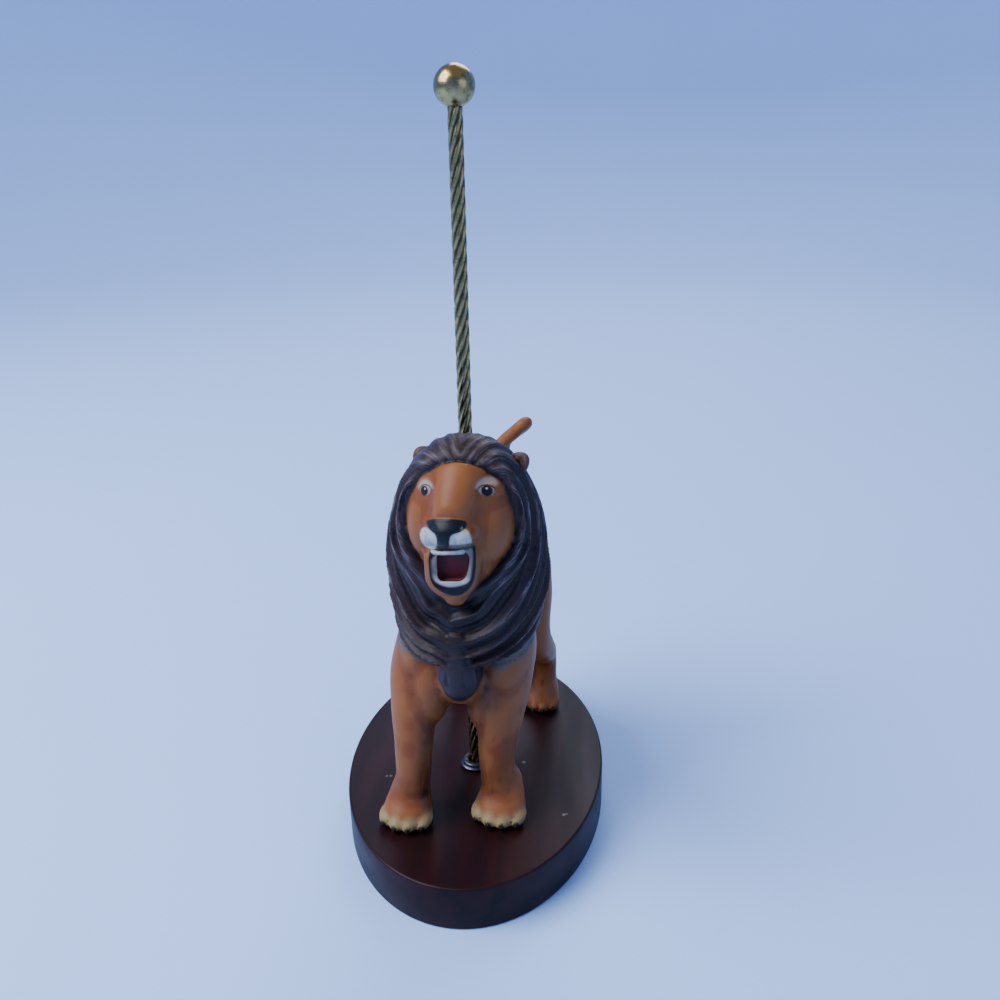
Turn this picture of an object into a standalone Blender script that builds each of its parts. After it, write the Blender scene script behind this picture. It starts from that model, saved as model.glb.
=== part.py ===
"""Carousel lion figurine: a cast lion on an oval wooden base, threaded on a twisted brass pole.

The origin is the middle of the base's underside. +Z is up and the lion looks towards -Y.
"""

import math

import bmesh
import bpy
import numpy as np
from mathutils import Euler, Matrix, Vector
from mathutils.bvhtree import BVHTree

# Base, an oval of stained wood
BASE_WIDTH = 0.076
BASE_LENGTH = 0.112
BASE_THICKNESS = 0.0135
BASE_EDGE = 0.0007
BASE_SIDES = 72

# Pole, ball and foot collar
TOTAL_HEIGHT = 0.2075
BALL_DIAMETER = 0.0098
POLE_DIAMETER = 0.0037
POLE_FLUTE_DEPTH = 0.0003
POLE_LEAD = 0.0267
POLE_FLUTES = 6
POLE_FORWARD = 0.0045
POLE_SOCKET_DEPTH = 0.009
POLE_IN_BALL = 0.004
COLLAR_DIAMETER = 0.0088
COLLAR_THICKNESS = 0.0019
COLLAR_STEP = 0.0006
FIT_GAP = 0.0003

# Lion, set by its height from paws to crown
LION_HEIGHT = 0.1126
LION_HEADING = math.radians(-8.0)
LION_LEAN = 0.062
LION_FACES = 5700

# The lion is modelled in units of 1/112.6 of its height, with the pole's axis at x = y = 0
UNITS_TALL = 112.6
UNIT = LION_HEIGHT / UNITS_TALL
BODY_VOXEL = 0.9
BODY_SMOOTHING = 9
FINE_VOXEL = 0.5
FINE_SMOOTHING = 1

# Paws, on the ground: middle x, middle y, width, length
PAWS = (
    (-12.6, -28.4, 15.4, 12.8),
    (12.2, -21.8, 15.8, 12.8),
    (13.6, 34.4, 12.6, 12.6),
    (-13.8, 38.6, 12.6, 12.6),
)

# Paw's outline upwards: height, half width as a share of its width, front and back as shares of its length
PAW_RINGS = (
    (0.2, 0.42, -0.43, 0.44),
    (0.9, 0.46, -0.48, 0.47),
    (2.6, 0.47, -0.49, 0.49),
    (4.4, 0.455, -0.42, 0.52),
    (6.2, 0.425, -0.3, 0.55),
    (8.4, 0.38, -0.12, 0.58),
    (11.0, 0.335, 0.02, 0.58),
    (13.0, 0.3, 0.1, 0.56),
)

# Face: the mouth's outline, the middle of the lips and the eyes, nose and pads that stand out, as (x, z) on
# the upright plane y = FACE_PLANE, as FACE_SIGHT sees them
FACE_SIGHT = (53.7, -240.5, 189.3)
FACE_PLANE = -42.0
MOUTH_BACK = -34.4
MOUTH = ((-1.8, 90.8), (5.8, 91.6), (5.8, 87.2), (4.8, 83.7), (1.7, 83.3), (-1.5, 83.1), (-1.7, 86.9))
LIP_PATH = (
    (-3.5, 90.4),
    (-3.4, 86.0),
    (-2.9, 83.1),
    (-1.1, 81.1),
    (1.3, 80.5),
    (3.6, 80.7),
    (5.7, 82.2),
    (6.8, 84.8),
    (7.0, 88.5),
    (6.8, 92.4),
)
# x, z, how deep its middle sits in the head, half width, half height
FACE_FORMS = (
    (-4.0, 93.9, 1.1, 2.3, 2.4),
    (3.7, 94.6, 1.1, 2.7, 2.4),
    (0.2, 97.6, 1.1, 4.3, 1.7),
    (-0.5, 94.0, 1.2, 1.5, 2.6),
    (-4.8, 105.6, 1.3, 1.4, 1.6),
    (9.25, 106.55, 1.3, 1.9, 1.6),
)
FACE_FORM_REACH = 1.7
LIP_RADIUS = 0.45

# Mane: rings from the edge of the face (0) back to the withers (1)
# share, top y, top z, bottom y, bottom z, half width, side y, drop of the widest place, middle x
MANE_RINGS = (
    (0.00, -29.8, 106.6, -28.0, 77.0, 13.2, -29.0, 0.0, 0.4),
    (0.08, -30.5, 109.0, -30.6, 74.0, 15.0, -29.4, 0.4, 0.2),
    (0.22, -27.5, 112.0, -32.5, 69.0, 17.7, -28.0, 2.0, -0.4),
    (0.42, -20.0, 112.3, -34.0, 61.0, 20.0, -22.0, 3.8, -0.6),
    (0.66, -8.0, 101.8, -33.8, 55.0, 20.6, -15.0, 5.0, -0.4),
    (0.88, 3.0, 85.3, -32.0, 53.5, 20.2, -11.0, 5.5, -0.2),
    (1.00, 8.0, 75.0, -28.0, 53.5, 17.0, -6.0, 3.5, -0.2),
)
MANE_LOCKS = 6.0
LOCK_DEPTH = 3.0
HOLLOW = 1.3
CROWN_FAN = 4.0
CROWN_FAN_REACH = 0.12
CHEST_BOW = 0.6
CHEST_BOW_START = 0.5
FIRST_LOCK = 0.43


def clear_scene():
    for thing in list(bpy.data.objects):
        bpy.data.objects.remove(thing, do_unlink=True)


def plain_material(name, colour, roughness, metallic=0.0):
    material = bpy.data.materials.new(name)
    material.use_nodes = True
    shader = material.node_tree.nodes["Principled BSDF"]
    shader.inputs["Base Color"].default_value = (*colour, 1.0)
    shader.inputs["Roughness"].default_value = roughness
    shader.inputs["Metallic"].default_value = metallic
    return material


def link_mesh(name, mesh):
    thing = bpy.data.objects.new(name, mesh)
    bpy.context.collection.objects.link(thing)
    return thing


def mesh_from(name, bm):
    mesh = bpy.data.meshes.new(name)
    bmesh.ops.recalc_face_normals(bm, faces=bm.faces)
    bm.to_mesh(mesh)
    bm.free()
    return mesh


def evaluated_mesh(thing):
    """The object's mesh with its modifiers applied, and the object removed."""
    graph = bpy.context.evaluated_depsgraph_get()
    mesh = bpy.data.meshes.new_from_object(thing.evaluated_get(graph))
    bpy.data.objects.remove(thing, do_unlink=True)
    return mesh


def joined(name, meshes):
    """One object that holds the given meshes side by side."""
    bm = bmesh.new()
    for mesh in meshes:
        bm.from_mesh(mesh)
    mesh = bpy.data.meshes.new(name)
    bm.to_mesh(mesh)
    bm.free()
    return link_mesh(name, mesh)


def ellipsoid(centre, radii, tilt=(0.0, 0.0, 0.0), segments=28):
    """An ellipsoid, tilted by angles in degrees about X, Y and Z."""
    bm = bmesh.new()
    turn = Euler([math.radians(angle) for angle in tilt]).to_matrix().to_4x4()
    place = Matrix.Translation(centre) @ turn @ Matrix.Diagonal((*radii, 1.0))
    bmesh.ops.create_uvsphere(bm, u_segments=segments, v_segments=segments // 2, radius=1.0, matrix=place)
    return mesh_from("ellipsoid", bm)


def tube(stations, bevel_steps=5):
    """A round tube through (x, y, z, radius) stations, on a smooth curve."""
    curve = bpy.data.curves.new("tube", "CURVE")
    curve.dimensions = "3D"
    curve.bevel_depth = 1.0
    curve.bevel_resolution = bevel_steps
    curve.resolution_u = 8
    curve.use_fill_caps = True
    spline = curve.splines.new("BEZIER")
    spline.bezier_points.add(len(stations) - 1)
    for point, (x, y, z, radius) in zip(spline.bezier_points, stations):
        point.co = (x, y, z)
        point.radius = radius
        point.handle_left_type = "AUTO"
        point.handle_right_type = "AUTO"
    return evaluated_mesh(link_mesh("tube", curve))


def lofted(rings):
    """A closed form through rings of points."""
    rings = np.asarray(rings, float)
    count, around = rings.shape[:2]
    index = np.arange(count * around).reshape(count, around)
    after = np.roll(index, -1, axis=1)
    faces = np.stack([index[:-1], after[:-1], after[1:], index[1:]], axis=-1).reshape(-1, 4).tolist()
    faces += [index[0].tolist()[::-1], index[-1].tolist()]
    mesh = bpy.data.meshes.new("lofted")
    mesh.from_pydata(rings.reshape(-1, 3).tolist(), [], faces)
    bm = bmesh.new()
    bm.from_mesh(mesh)
    return mesh_from("lofted", bm)


def smoothstep(value, low, high):
    x = np.clip((value - low) / (high - low), 0, 1)
    return x * x * (3 - 2 * x)


def mirrored(stations, side):
    return [(side * x, *rest) for x, *rest in stations]


def foreleg(side, stride, splay):
    """A straight foreleg from shoulder to fetlock; stride moves its paw forward, splay its middle outward."""
    stations = (
        (11.0, -17.0, 56.0, 7.5),
        (12.4 + 0.85 * splay, -18.0 - 0.2 * stride, 44.0, 7.3),
        (12.1 + splay, -18.5 - 0.5 * stride, 34.0, 6.5),
        (11.4 + splay, -18.8 - 0.8 * stride, 24.0, 5.5),
        (11.4 + 0.65 * splay, -18.8 - stride, 13.5, 4.9),
        (11.9 + 0.2 * splay, -18.8 - stride, 7.0, 5.0),
    )
    return tube(mirrored(stations, side))


def hindleg(side, stride):
    """A hind leg with knee and hock; stride moves its paw forward."""
    stations = (
        (8.0, 31.0, 55.0, 9.3),
        (9.8, 28.0 - 0.3 * stride, 45.0, 8.8),
        (11.9, 25.0 - 0.6 * stride, 34.0, 7.0),
        (14.2, 31.5 - 0.8 * stride, 25.5, 5.0),
        (14.3, 40.0 - stride, 18.0, 4.1),
        (14.3, 40.0 - stride, 10.0, 4.0),
        (14.3, 38.5 - stride, 4.5, 4.4),
    )
    return tube(mirrored(stations, side))


def paw_form(centre_x, centre_y, width, length):
    """A paw that slopes forward from the ankle and flares down to a flat sole."""
    rings = []
    around = np.linspace(0, 2 * math.pi, 48, endpoint=False)
    for height, half_width, front, back in PAW_RINGS:
        x = centre_x + half_width * width * np.cos(around)
        y = centre_y + length * ((back + front) / 2 + (back - front) / 2 * np.sin(around))
        rings.append(np.stack([x, y, height + 0 * around], axis=1))
    return lofted(rings)


def toes(centre_x, centre_y, width, length):
    """Four toes, the middle two ahead."""
    parts = []
    for toe in range(4):
        across = (toe - 1.5) / 1.5
        x = centre_x + 0.34 * width * across
        y = centre_y - 0.27 * length + 0.14 * length * across * across
        parts.append(ellipsoid((x, y, 2.5), (0.15 * width, 0.27 * length, 2.35), (16, 0, -12 * across)))
    return parts


def body_parts():
    """The smooth forms of trunk, limbs and head."""
    parts = [
        ellipsoid((0, -14, 57), (15.6, 14, 18)),
        ellipsoid((0, -20, 47), (8.0, 9.0, 11.0)),
        ellipsoid((7.0, -18, 38), (6.5, 6.0, 13.0)),
        ellipsoid((-8.2, -22, 42), (6.0, 6.0, 13.5)),
        ellipsoid((0, 4, 58), (14.8, 27, 17)),
        ellipsoid((0, 24, 59), (12.8, 20, 14.5)),
        ellipsoid((0, 33, 57.5), (12.2, 13, 15)),
        ellipsoid((0, -5, 68), (9.5, 16, 11.5), (-18, 0, 0)),
        tube(((0, -4, 62, 14), (0, -12, 78, 14.5), (0, -19, 92, 13.5), (0, -21, 98, 12.5))),
    ]
    for side in (-1, 1):
        parts.append(ellipsoid((side * 11.5, -16, 50), (7.0, 11.0, 15.5), (8, 0, 0)))
        parts.append(ellipsoid((side * 8.2, 31, 48), (7.2, 13, 16), (-14, side * 6, 0)))
    parts += [foreleg(-1, 6.5, 0.8), foreleg(1, 0.0, -1.4), hindleg(1, 4.0), hindleg(-1, 0.0)]
    parts += [paw_form(*paw) for paw in PAWS]
    parts += head_parts()
    return parts


def head_parts():
    """Skull, brow, cheeks, muzzle and the jaw's rim, before the mouth is cut."""
    parts = [
        ellipsoid((0, -24.0, 93.5), (14.8, 11.8, 17.4)),
        ellipsoid((0.3, -28.0, 98.5), (12.0, 8.0, 9.6)),
        tube(((0.3, -28.4, 104.0, 7.0), (0.3, -33.4, 100.2, 6.1), (0.2, -37.9, 96.7, 4.4))),
        ellipsoid((0.3, -35.6, 94.0), (6.8, 6.4, 5.0)),
        ellipsoid((0.8, -32.4, 85.6), (6.6, 4.8, 7.4)),
        ellipsoid((0.6, -31.0, 81.0), (6.0, 6.4, 6.6), (20, 0, 0)),
        tube(((0.6, -31.6, 80.0, 5.4), (0.8, -33.4, 76.2, 4.0), (0.8, -34.4, 72.8, 2.0))),
        tube([(*sighted([spot], -35.4)[0], 1.7) for spot in LIP_PATH]),
    ]
    for side in (-1, 1):
        parts.append(ellipsoid((side * 7.0 + 0.3, -28.4, 92.5), (6.2, 7.2, 10.0)))
        parts.append(ellipsoid((side * 4.6 + 0.6, -28.5, 84.2), (4.8, 5.2, 6.6)))
        parts.append(ellipsoid((side * 6.4 + 0.4, -29.6, 102.6), (4.2, 4.0, 2.6)))
    return parts


def rounded(outline):
    """The closed outline with its corners cut twice."""
    points = np.array(outline)
    for _ in range(2):
        after = np.roll(points, -1, axis=0)
        points = np.stack([0.75 * points + 0.25 * after, 0.25 * points + 0.75 * after], axis=1).reshape(-1, 2)
    return points


def sighted(outline, depth):
    """The outline's points moved along the lines of sight to the upright plane y = depth."""
    eye_x, eye_y, eye_z = FACE_SIGHT
    reach = (depth - eye_y) / (FACE_PLANE - eye_y)
    return [(eye_x + (x - eye_x) * reach, depth, eye_z + (z - eye_z) * reach) for x, z in outline]


def pocket(outline, front, back):
    """A plug of the outline's shape between two depths, to cut a hollow with."""
    outline = rounded(outline)
    return lofted([sighted(outline, front), sighted(outline, back)])


def mane_ring_values(share):
    """The ring sizes at a share of the way from face to withers."""
    table = np.array(MANE_RINGS)
    slopes = np.gradient(table[:, 1:], table[:, 0], axis=0)
    index = np.clip(np.searchsorted(table[:, 0], share, side="right") - 1, 0, len(table) - 2)
    span = table[index + 1, 0] - table[index, 0]
    x = ((share - table[index, 0]) / span)[:, None]
    low, high = table[index, 1:], table[index + 1, 1:]
    slope_low, slope_high = slopes[index] * span[:, None], slopes[index + 1] * span[:, None]
    return (
        (2 * x**3 - 3 * x**2 + 1) * low
        + (x**3 - 2 * x**2 + x) * slope_low
        + (3 * x**2 - 2 * x**3) * high
        + (x**3 - x**2) * slope_high
    )


def mane_surface(around, share):
    """Points on the smooth mane. around runs 0 at the crown to 1 at the chest, negative on the right."""
    top_y, top_z, low_y, low_z, half_width, side_y, drop, middle_x = mane_ring_values(share.ravel()).T
    angle = math.pi * np.abs(around).ravel()
    sine, cosine = np.sin(angle), np.cos(angle)
    egg = 1 - smoothstep(share.ravel(), 0.05, 0.3)
    half_width *= 1 + egg * (0.2 * cosine - 0.35 * np.maximum(-cosine, 0) ** 3)
    x = middle_x + np.sign(around).ravel() * half_width * np.abs(sine) ** 0.9
    middle_y = (top_y + low_y) / 2
    y = middle_y + (top_y - low_y) / 2 * cosine + (side_y - middle_y) * sine**2
    z = (top_z + low_z) / 2 + (top_z - low_z) / 2 * cosine - drop * sine**2
    return np.stack([x, y, z], axis=-1).reshape(*around.shape, 3)


def lock_height(around, share):
    """How far the locks stand out: they fan back from the crown and run down into the chest."""
    t = np.abs(around)
    crown = CROWN_FAN * np.exp(-t / CROWN_FAN_REACH)
    low = np.clip((t - CHEST_BOW_START) / (1 - CHEST_BOW_START), 0, 1)
    chest = CHEST_BOW * np.sin(math.pi * low**1.3)
    sway = 0.14 * np.sin(2 * math.pi * (1.7 * t + 0.9 * share)) + 0.1 * np.sin(9 * t + 3 * np.sign(around))
    along = FIRST_LOCK + MANE_LOCKS * share + crown + chest + sway
    lock = np.floor(along)
    place = along - lock
    size = 0.8 + 0.2 * np.sin(lock * 2.4 + np.sign(around) + 4.0 * t)
    size *= (0.2 + 0.8 * smoothstep(t, 0.12, 0.42)) * (1 - 0.55 * smoothstep(t, 0.9, 1.0))
    ridge = 1.0 - np.abs(2 * place**1.25 - 1) ** 1.3
    below = smoothstep(t, 0.35, 0.5)
    edge = below * smoothstep(share, 0.1, 0.18) + (1 - below) * smoothstep(share, 0, 0.1)
    edge *= 1 - smoothstep(share, 0.85, 1.02)
    hollow = HOLLOW * np.exp(-(((share - 0.11) / 0.06) ** 2)) * smoothstep(t, 0.42, 0.7)
    return LOCK_DEPTH * ridge * size * edge - hollow


def mane(steps_around=120, steps_back=56):
    """The mane as one closed form, with its locks."""
    turns = np.linspace(-1, 1, steps_around, endpoint=False) + 1 / steps_around
    share, around = np.meshgrid(np.linspace(0, 1, steps_back), turns, indexing="ij")
    small = 1e-3
    back = mane_surface(around, np.clip(share + small, 0, 1))
    back -= mane_surface(around, np.clip(share - small, 0, 1))
    turn = mane_surface(around + small, share) - mane_surface(around - small, share)
    normal = np.cross(back, turn)
    normal /= np.linalg.norm(normal, axis=-1, keepdims=True) + 1e-9
    return lofted(mane_surface(around, share) + normal * lock_height(around, share)[..., None])


def chest_tuft():
    """The pointed tuft between the forelegs, where the locks meet and turn down."""
    parts = [
        ellipsoid((1.2, -27.5, 49.6), (5.5, 5.4, 8.0), (-8, 0, 0)),
        tube(((0.8, -31.4, 63.0, 1.6), (1.0, -30.9, 57.0, 3.2), (1.2, -28.8, 50.5, 4.6))),
    ]
    for x in (-2.4, 0.0, 2.4):
        stations = (
            (0.85 * x + 1.1, -33.0 + 0.12 * x * x, 56.5, 1.2),
            (1.35 * x + 1.2, -32.0 + 0.14 * x * x, 49.5, 1.6),
            (0.6 * x + 1.5, -29.2, 42.2 + 0.5 * abs(x), 0.6),
        )
        parts.append(tube(stations))
    return parts


def ear(side):
    return ellipsoid((side * 10.9 + 0.1, -20.3, 104.3), (3.0, 2.2, 4.3), (-22, side * 40, side * -28))


def tail():
    """The tail rises from the rump, arches over to the lion's left and hangs down behind."""
    rope = (
        (0.0, 41.0, 66.0, 3.4),
        (-3.4, 44.5, 75.0, 2.7),
        (-3.6, 44.6, 82.2, 2.2),
        (-0.2, 44.2, 87.0, 2.0),
        (3.6, 44.2, 90.7, 1.95),
        (6.7, 44.7, 93.4, 1.95),
        (6.0, 47.6, 91.8, 1.95),
        (2.6, 49.8, 88.6, 1.95),
        (-1.3, 51.4, 84.0, 2.0),
        (-1.0, 52.5, 75.5, 2.2),
    )
    tuft = (
        (-0.5, 52.5, 76.0, 2.0),
        (-0.8, 53.0, 70.0, 3.4),
        (-0.8, 52.5, 65.0, 2.8),
        (-0.6, 51.5, 60.0, 0.8),
    )
    return [tube(rope), tube(tuft)]


def head_tree(mesh):
    bm = bmesh.new()
    bm.from_mesh(mesh)
    tree = BVHTree.FromBMesh(bm)
    bm.free()
    return tree


def seen_at(head, x, z):
    """The place where the line of sight through (x, z) of the face's outlines meets the head."""
    eye = Vector(FACE_SIGHT)
    return head.ray_cast(eye, Vector((x, FACE_PLANE, z)) - eye)[0]


def face_details(head):
    """Eyes, nose, whisker pads, lips and teeth, each laid where its outline falls on the head."""
    parts = [tube([(*seen_at(head, x, z), LIP_RADIUS) for x, z in LIP_PATH], 3)]
    row = ((-3.2, 90.5, -38.8), (-1.0, 90.3, -39.6), (1.6, 90.7, -39.8), (4.3, 91.1, -38.8))
    parts.append(tube([(*sighted([(x, z)], y)[0], 0.5) for x, z, y in row], 3))
    for x, z, sunk, half_width, half_height in FACE_FORMS:
        middle = seen_at(head, x, z) + Vector((0, sunk, 0))
        parts.append(ellipsoid(middle, (half_width, FACE_FORM_REACH, half_height)))
    return parts


def remeshed(name, meshes, voxel, smoothing):
    """The meshes fused into one skin, with its creases softened."""
    thing = joined(name, meshes)
    fuse = thing.modifiers.new("fuse", "REMESH")
    fuse.mode = "VOXEL"
    fuse.voxel_size = voxel
    soften = thing.modifiers.new("soften", "SMOOTH")
    soften.iterations = smoothing
    return evaluated_mesh(thing)


def cut(mesh, cutter_mesh):
    """The mesh with the cutter's volume taken out."""
    thing = link_mesh("cut", mesh)
    cutter = link_mesh("cutter", cutter_mesh)
    difference = thing.modifiers.new("difference", "BOOLEAN")
    difference.operation = "DIFFERENCE"
    difference.object = cutter
    result = evaluated_mesh(thing)
    bpy.data.objects.remove(cutter, do_unlink=True)
    return result


def cylinder(radius, low, high, sides=24):
    bm = bmesh.new()
    middle = Matrix.Translation((0, 0, (low + high) / 2))
    bmesh.ops.create_cone(
        bm, cap_ends=True, segments=sides, radius1=radius, radius2=radius, depth=high - low, matrix=middle
    )
    return mesh_from("cylinder", bm)


def leaning(mesh):
    """The forequarters lean to the lion's left, the more the higher they are."""
    for vert in mesh.vertices:
        ahead = min(max((25.0 - vert.co.y) / 40.0, 0.0), 1.0)
        vert.co.x += LION_LEAN * vert.co.z * ahead * ahead * (3 - 2 * ahead)


def decimated(mesh, faces):
    thing = link_mesh("decimated", mesh)
    thin = thing.modifiers.new("thin", "DECIMATE")
    thin.ratio = min(1.0, faces / sum(len(face.vertices) - 2 for face in mesh.polygons))
    return evaluated_mesh(thing)


def make_lion(material):
    flesh = remeshed("flesh", body_parts(), BODY_VOXEL, BODY_SMOOTHING)
    details = [mane(), *chest_tuft(), *tail(), *face_details(head_tree(flesh))]
    details.append(cut(flesh, pocket(MOUTH, 2 * FACE_PLANE, MOUTH_BACK)))
    for side in (-1, 1):
        details.append(ear(side))
    for place in PAWS:
        details += toes(*place)
    skin = remeshed("lion", details, FINE_VOXEL, FINE_SMOOTHING)
    leaning(skin)
    skin = decimated(skin, LION_FACES)
    skin.transform(Matrix.Diagonal((UNIT, UNIT, UNIT, 1.0)))
    bore = cylinder(POLE_DIAMETER / 2 + FIT_GAP, -LION_HEIGHT, 2 * LION_HEIGHT)
    skin = cut(skin, bore)
    lion = link_mesh("lion", skin)
    lowest = min(vert.co.z for vert in skin.vertices)
    lion.location = (0, -POLE_FORWARD, BASE_THICKNESS + FIT_GAP - lowest)
    lion.rotation_euler.z = LION_HEADING
    skin.materials.clear()
    skin.materials.append(material)
    return lion


def make_base(material):
    bm = bmesh.new()
    bmesh.ops.create_circle(bm, cap_ends=True, segments=BASE_SIDES, radius=0.5)
    bmesh.ops.scale(bm, vec=(BASE_WIDTH, BASE_LENGTH, 1), verts=bm.verts)
    raised = bmesh.ops.extrude_face_region(bm, geom=list(bm.faces))
    top = [item for item in raised["geom"] if isinstance(item, bmesh.types.BMVert)]
    bmesh.ops.translate(bm, vec=(0, 0, BASE_THICKNESS), verts=top)
    rims = [edge for edge in bm.edges if edge.calc_face_angle(0.0) > math.radians(60)]
    bmesh.ops.bevel(bm, geom=rims, offset=BASE_EDGE, segments=2, profile=0.5, affect="EDGES")
    mesh = mesh_from("base", bm)
    socket = cylinder(POLE_DIAMETER / 2 + FIT_GAP, BASE_THICKNESS - POLE_SOCKET_DEPTH, 2 * BASE_THICKNESS)
    socket.transform(Matrix.Translation((0, -POLE_FORWARD, 0)))
    base = link_mesh("wooden_base", cut(mesh, socket))
    base.data.materials.clear()
    base.data.materials.append(material)
    return base


def make_pole(material):
    """A bar with spiral flutes: each ring of points turns a little further than the one below."""
    low = BASE_THICKNESS - POLE_SOCKET_DEPTH + FIT_GAP
    high = TOTAL_HEIGHT - BALL_DIAMETER + POLE_IN_BALL
    points_round = 2 * POLE_FLUTES
    step = POLE_LEAD / points_round
    rings = math.ceil((high - low) / step)
    bm = bmesh.new()
    previous = None
    for ring in range(rings + 1):
        height = min(low + ring * step, high)
        turn = 2 * math.pi * (height - low) / POLE_LEAD
        verts = []
        for point in range(points_round):
            radius = POLE_DIAMETER / 2 - (point % 2) * POLE_FLUTE_DEPTH
            angle = turn + 2 * math.pi * point / points_round
            verts.append(bm.verts.new((radius * math.cos(angle), radius * math.sin(angle), height)))
        if previous is None:
            bm.faces.new(list(reversed(verts)))
        else:
            for point in range(points_round):
                after = (point + 1) % points_round
                bm.faces.new((previous[point], previous[after], verts[after], verts[point]))
        previous = verts
    bm.faces.new(previous)
    pole = link_mesh("twisted_pole", mesh_from("pole", bm))
    pole.location.y = -POLE_FORWARD
    pole.data.materials.append(material)
    return pole


def make_ball(material):
    bm = bmesh.new()
    bmesh.ops.create_uvsphere(bm, u_segments=20, v_segments=14, radius=BALL_DIAMETER / 2)
    mesh = mesh_from("ball", bm)
    depth = POLE_IN_BALL + FIT_GAP - BALL_DIAMETER / 2
    hole = cylinder(POLE_DIAMETER / 2 + FIT_GAP, -BALL_DIAMETER, depth)
    ball = link_mesh("ball_finial", cut(mesh, hole))
    ball.data.shade_smooth()
    ball.location = (0, -POLE_FORWARD, TOTAL_HEIGHT - BALL_DIAMETER / 2)
    ball.data.materials.clear()
    ball.data.materials.append(material)
    return ball


def make_collar(material):
    """The turned ring at the pole's foot: a thin flange with a rounded boss on it."""
    inner = POLE_DIAMETER / 2 + FIT_GAP
    outer = COLLAR_DIAMETER / 2
    boss = outer - COLLAR_STEP
    low = BASE_THICKNESS + FIT_GAP
    high = low + COLLAR_THICKNESS
    flange = low + COLLAR_STEP
    profile = (
        (inner, low),
        (outer, low),
        (outer, flange),
        (boss, flange + COLLAR_STEP / 3),
        (boss, high - COLLAR_STEP),
        (boss - COLLAR_STEP, high),
        (inner, high),
    )
    bm = bmesh.new()
    verts = [bm.verts.new((radius, 0, height)) for radius, height in profile]
    edges = [bm.edges.new((verts[i], verts[(i + 1) % len(verts)])) for i in range(len(verts))]
    bmesh.ops.spin(
        bm, geom=verts + edges, cent=(0, 0, 0), axis=(0, 0, 1), angle=2 * math.pi, steps=20, use_merge=True
    )
    bmesh.ops.remove_doubles(bm, verts=bm.verts, dist=1e-6)
    collar = link_mesh("foot_collar", mesh_from("collar", bm))
    collar.location.y = -POLE_FORWARD
    collar.data.materials.append(material)
    return collar


def main():
    clear_scene()
    wood = plain_material("stained_wood", (0.030, 0.010, 0.009), 0.35)
    paint = plain_material("painted_resin", (0.36, 0.13, 0.05), 0.5)
    brass = plain_material("brass", (0.42, 0.34, 0.17), 0.3, 1.0)
    steel = plain_material("steel", (0.35, 0.35, 0.36), 0.4, 1.0)
    make_base(wood)
    make_lion(paint)
    make_pole(brass)
    make_ball(brass)
    make_collar(steel)


main()
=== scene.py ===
"""The carousel lion figurine's looks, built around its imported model.

Positions on the lion are in its own units, 1 mm each at its normal size. Its pole is at x = y = 0, it
looks towards -Y, and z = 0 is about the ground under its paws.
"""

import math

import bmesh
import bpy
import numpy as np
from bpy.props import FloatProperty, FloatVectorProperty, IntProperty, PointerProperty
from bpy.types import Operator, Panel, PropertyGroup
from mathutils import Euler, Matrix, Vector
from mathutils.bvhtree import BVHTree


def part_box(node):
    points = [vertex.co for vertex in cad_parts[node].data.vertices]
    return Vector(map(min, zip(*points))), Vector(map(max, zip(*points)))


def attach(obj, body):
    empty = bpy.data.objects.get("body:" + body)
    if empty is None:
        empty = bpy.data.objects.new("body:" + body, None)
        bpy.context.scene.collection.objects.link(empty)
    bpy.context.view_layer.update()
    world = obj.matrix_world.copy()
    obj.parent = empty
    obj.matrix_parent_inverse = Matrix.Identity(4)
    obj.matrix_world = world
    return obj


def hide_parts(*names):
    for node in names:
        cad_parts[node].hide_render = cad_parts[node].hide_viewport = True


bl_info = {
    "name": "Carousel lion figurine",
    "version": (1, 0, 0),
    "blender": (4, 5, 0),
    "location": "3D View > Sidebar > Carousel lion",
    "description": "Builds a painted carousel lion on a twisted brass pole and an oval wooden base",
    "category": "Object",
}

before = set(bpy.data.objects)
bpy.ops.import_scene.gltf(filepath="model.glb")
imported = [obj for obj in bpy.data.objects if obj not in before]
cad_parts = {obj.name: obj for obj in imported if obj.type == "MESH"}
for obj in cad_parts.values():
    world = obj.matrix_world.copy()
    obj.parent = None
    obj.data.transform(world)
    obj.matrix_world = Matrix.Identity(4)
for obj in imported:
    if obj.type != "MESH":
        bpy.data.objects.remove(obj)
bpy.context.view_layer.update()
BASE_LOW, BASE_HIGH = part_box("wooden_base")
POLE_LOW, POLE_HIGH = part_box("twisted_pole")
BALL_LOW, BALL_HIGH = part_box("ball_finial")
COLLAR_LOW, COLLAR_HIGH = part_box("foot_collar")
LION_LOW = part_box("lion")[0]
POLE_X = (BALL_LOW.x + BALL_HIGH.x) / 2
POLE_Y = (BALL_LOW.y + BALL_HIGH.y) / 2
POLE_RADIUS = (POLE_HIGH.x - POLE_LOW.x) / 2

# Camera, from the photograph: place in metres, turns in degrees, focal length in picture widths
CAMERA_PLACE = (0.0311, -0.2517, 0.2031)
CAMERA_YAW = 5.16
CAMERA_PITCH = 22.60
CAMERA_ROLL = 1.06
CAMERA_FOCAL = 1.003
SENSOR_WIDTH = 36.0

# Stage: flat floor's reach, radius of the sweep at its edge, height of the wall above it
FLOOR_REACH = 0.9
SWEEP = 0.6
WALL_HEIGHT = 1.6

# Light: the air's tint and strength, the place the lamps face, and each lamp's place, side, watts and tint
AIR_COLOUR = "#D2D2DC"
AIR_STRENGTH = 0.55
LIT_PLACE = (0.0, 0.0, 0.09)
LAMPS = (
    ("window", (-0.6, -0.25, 0.75), 0.65, 18.0, "#EEF0FF"),
    ("fill", (0.7, -0.5, 0.35), 0.6, 1.0, "#F2F2FF"),
    ("back", (0.1, 0.8, 0.8), 0.6, 6.0, "#F4F6FF"),
)

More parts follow.
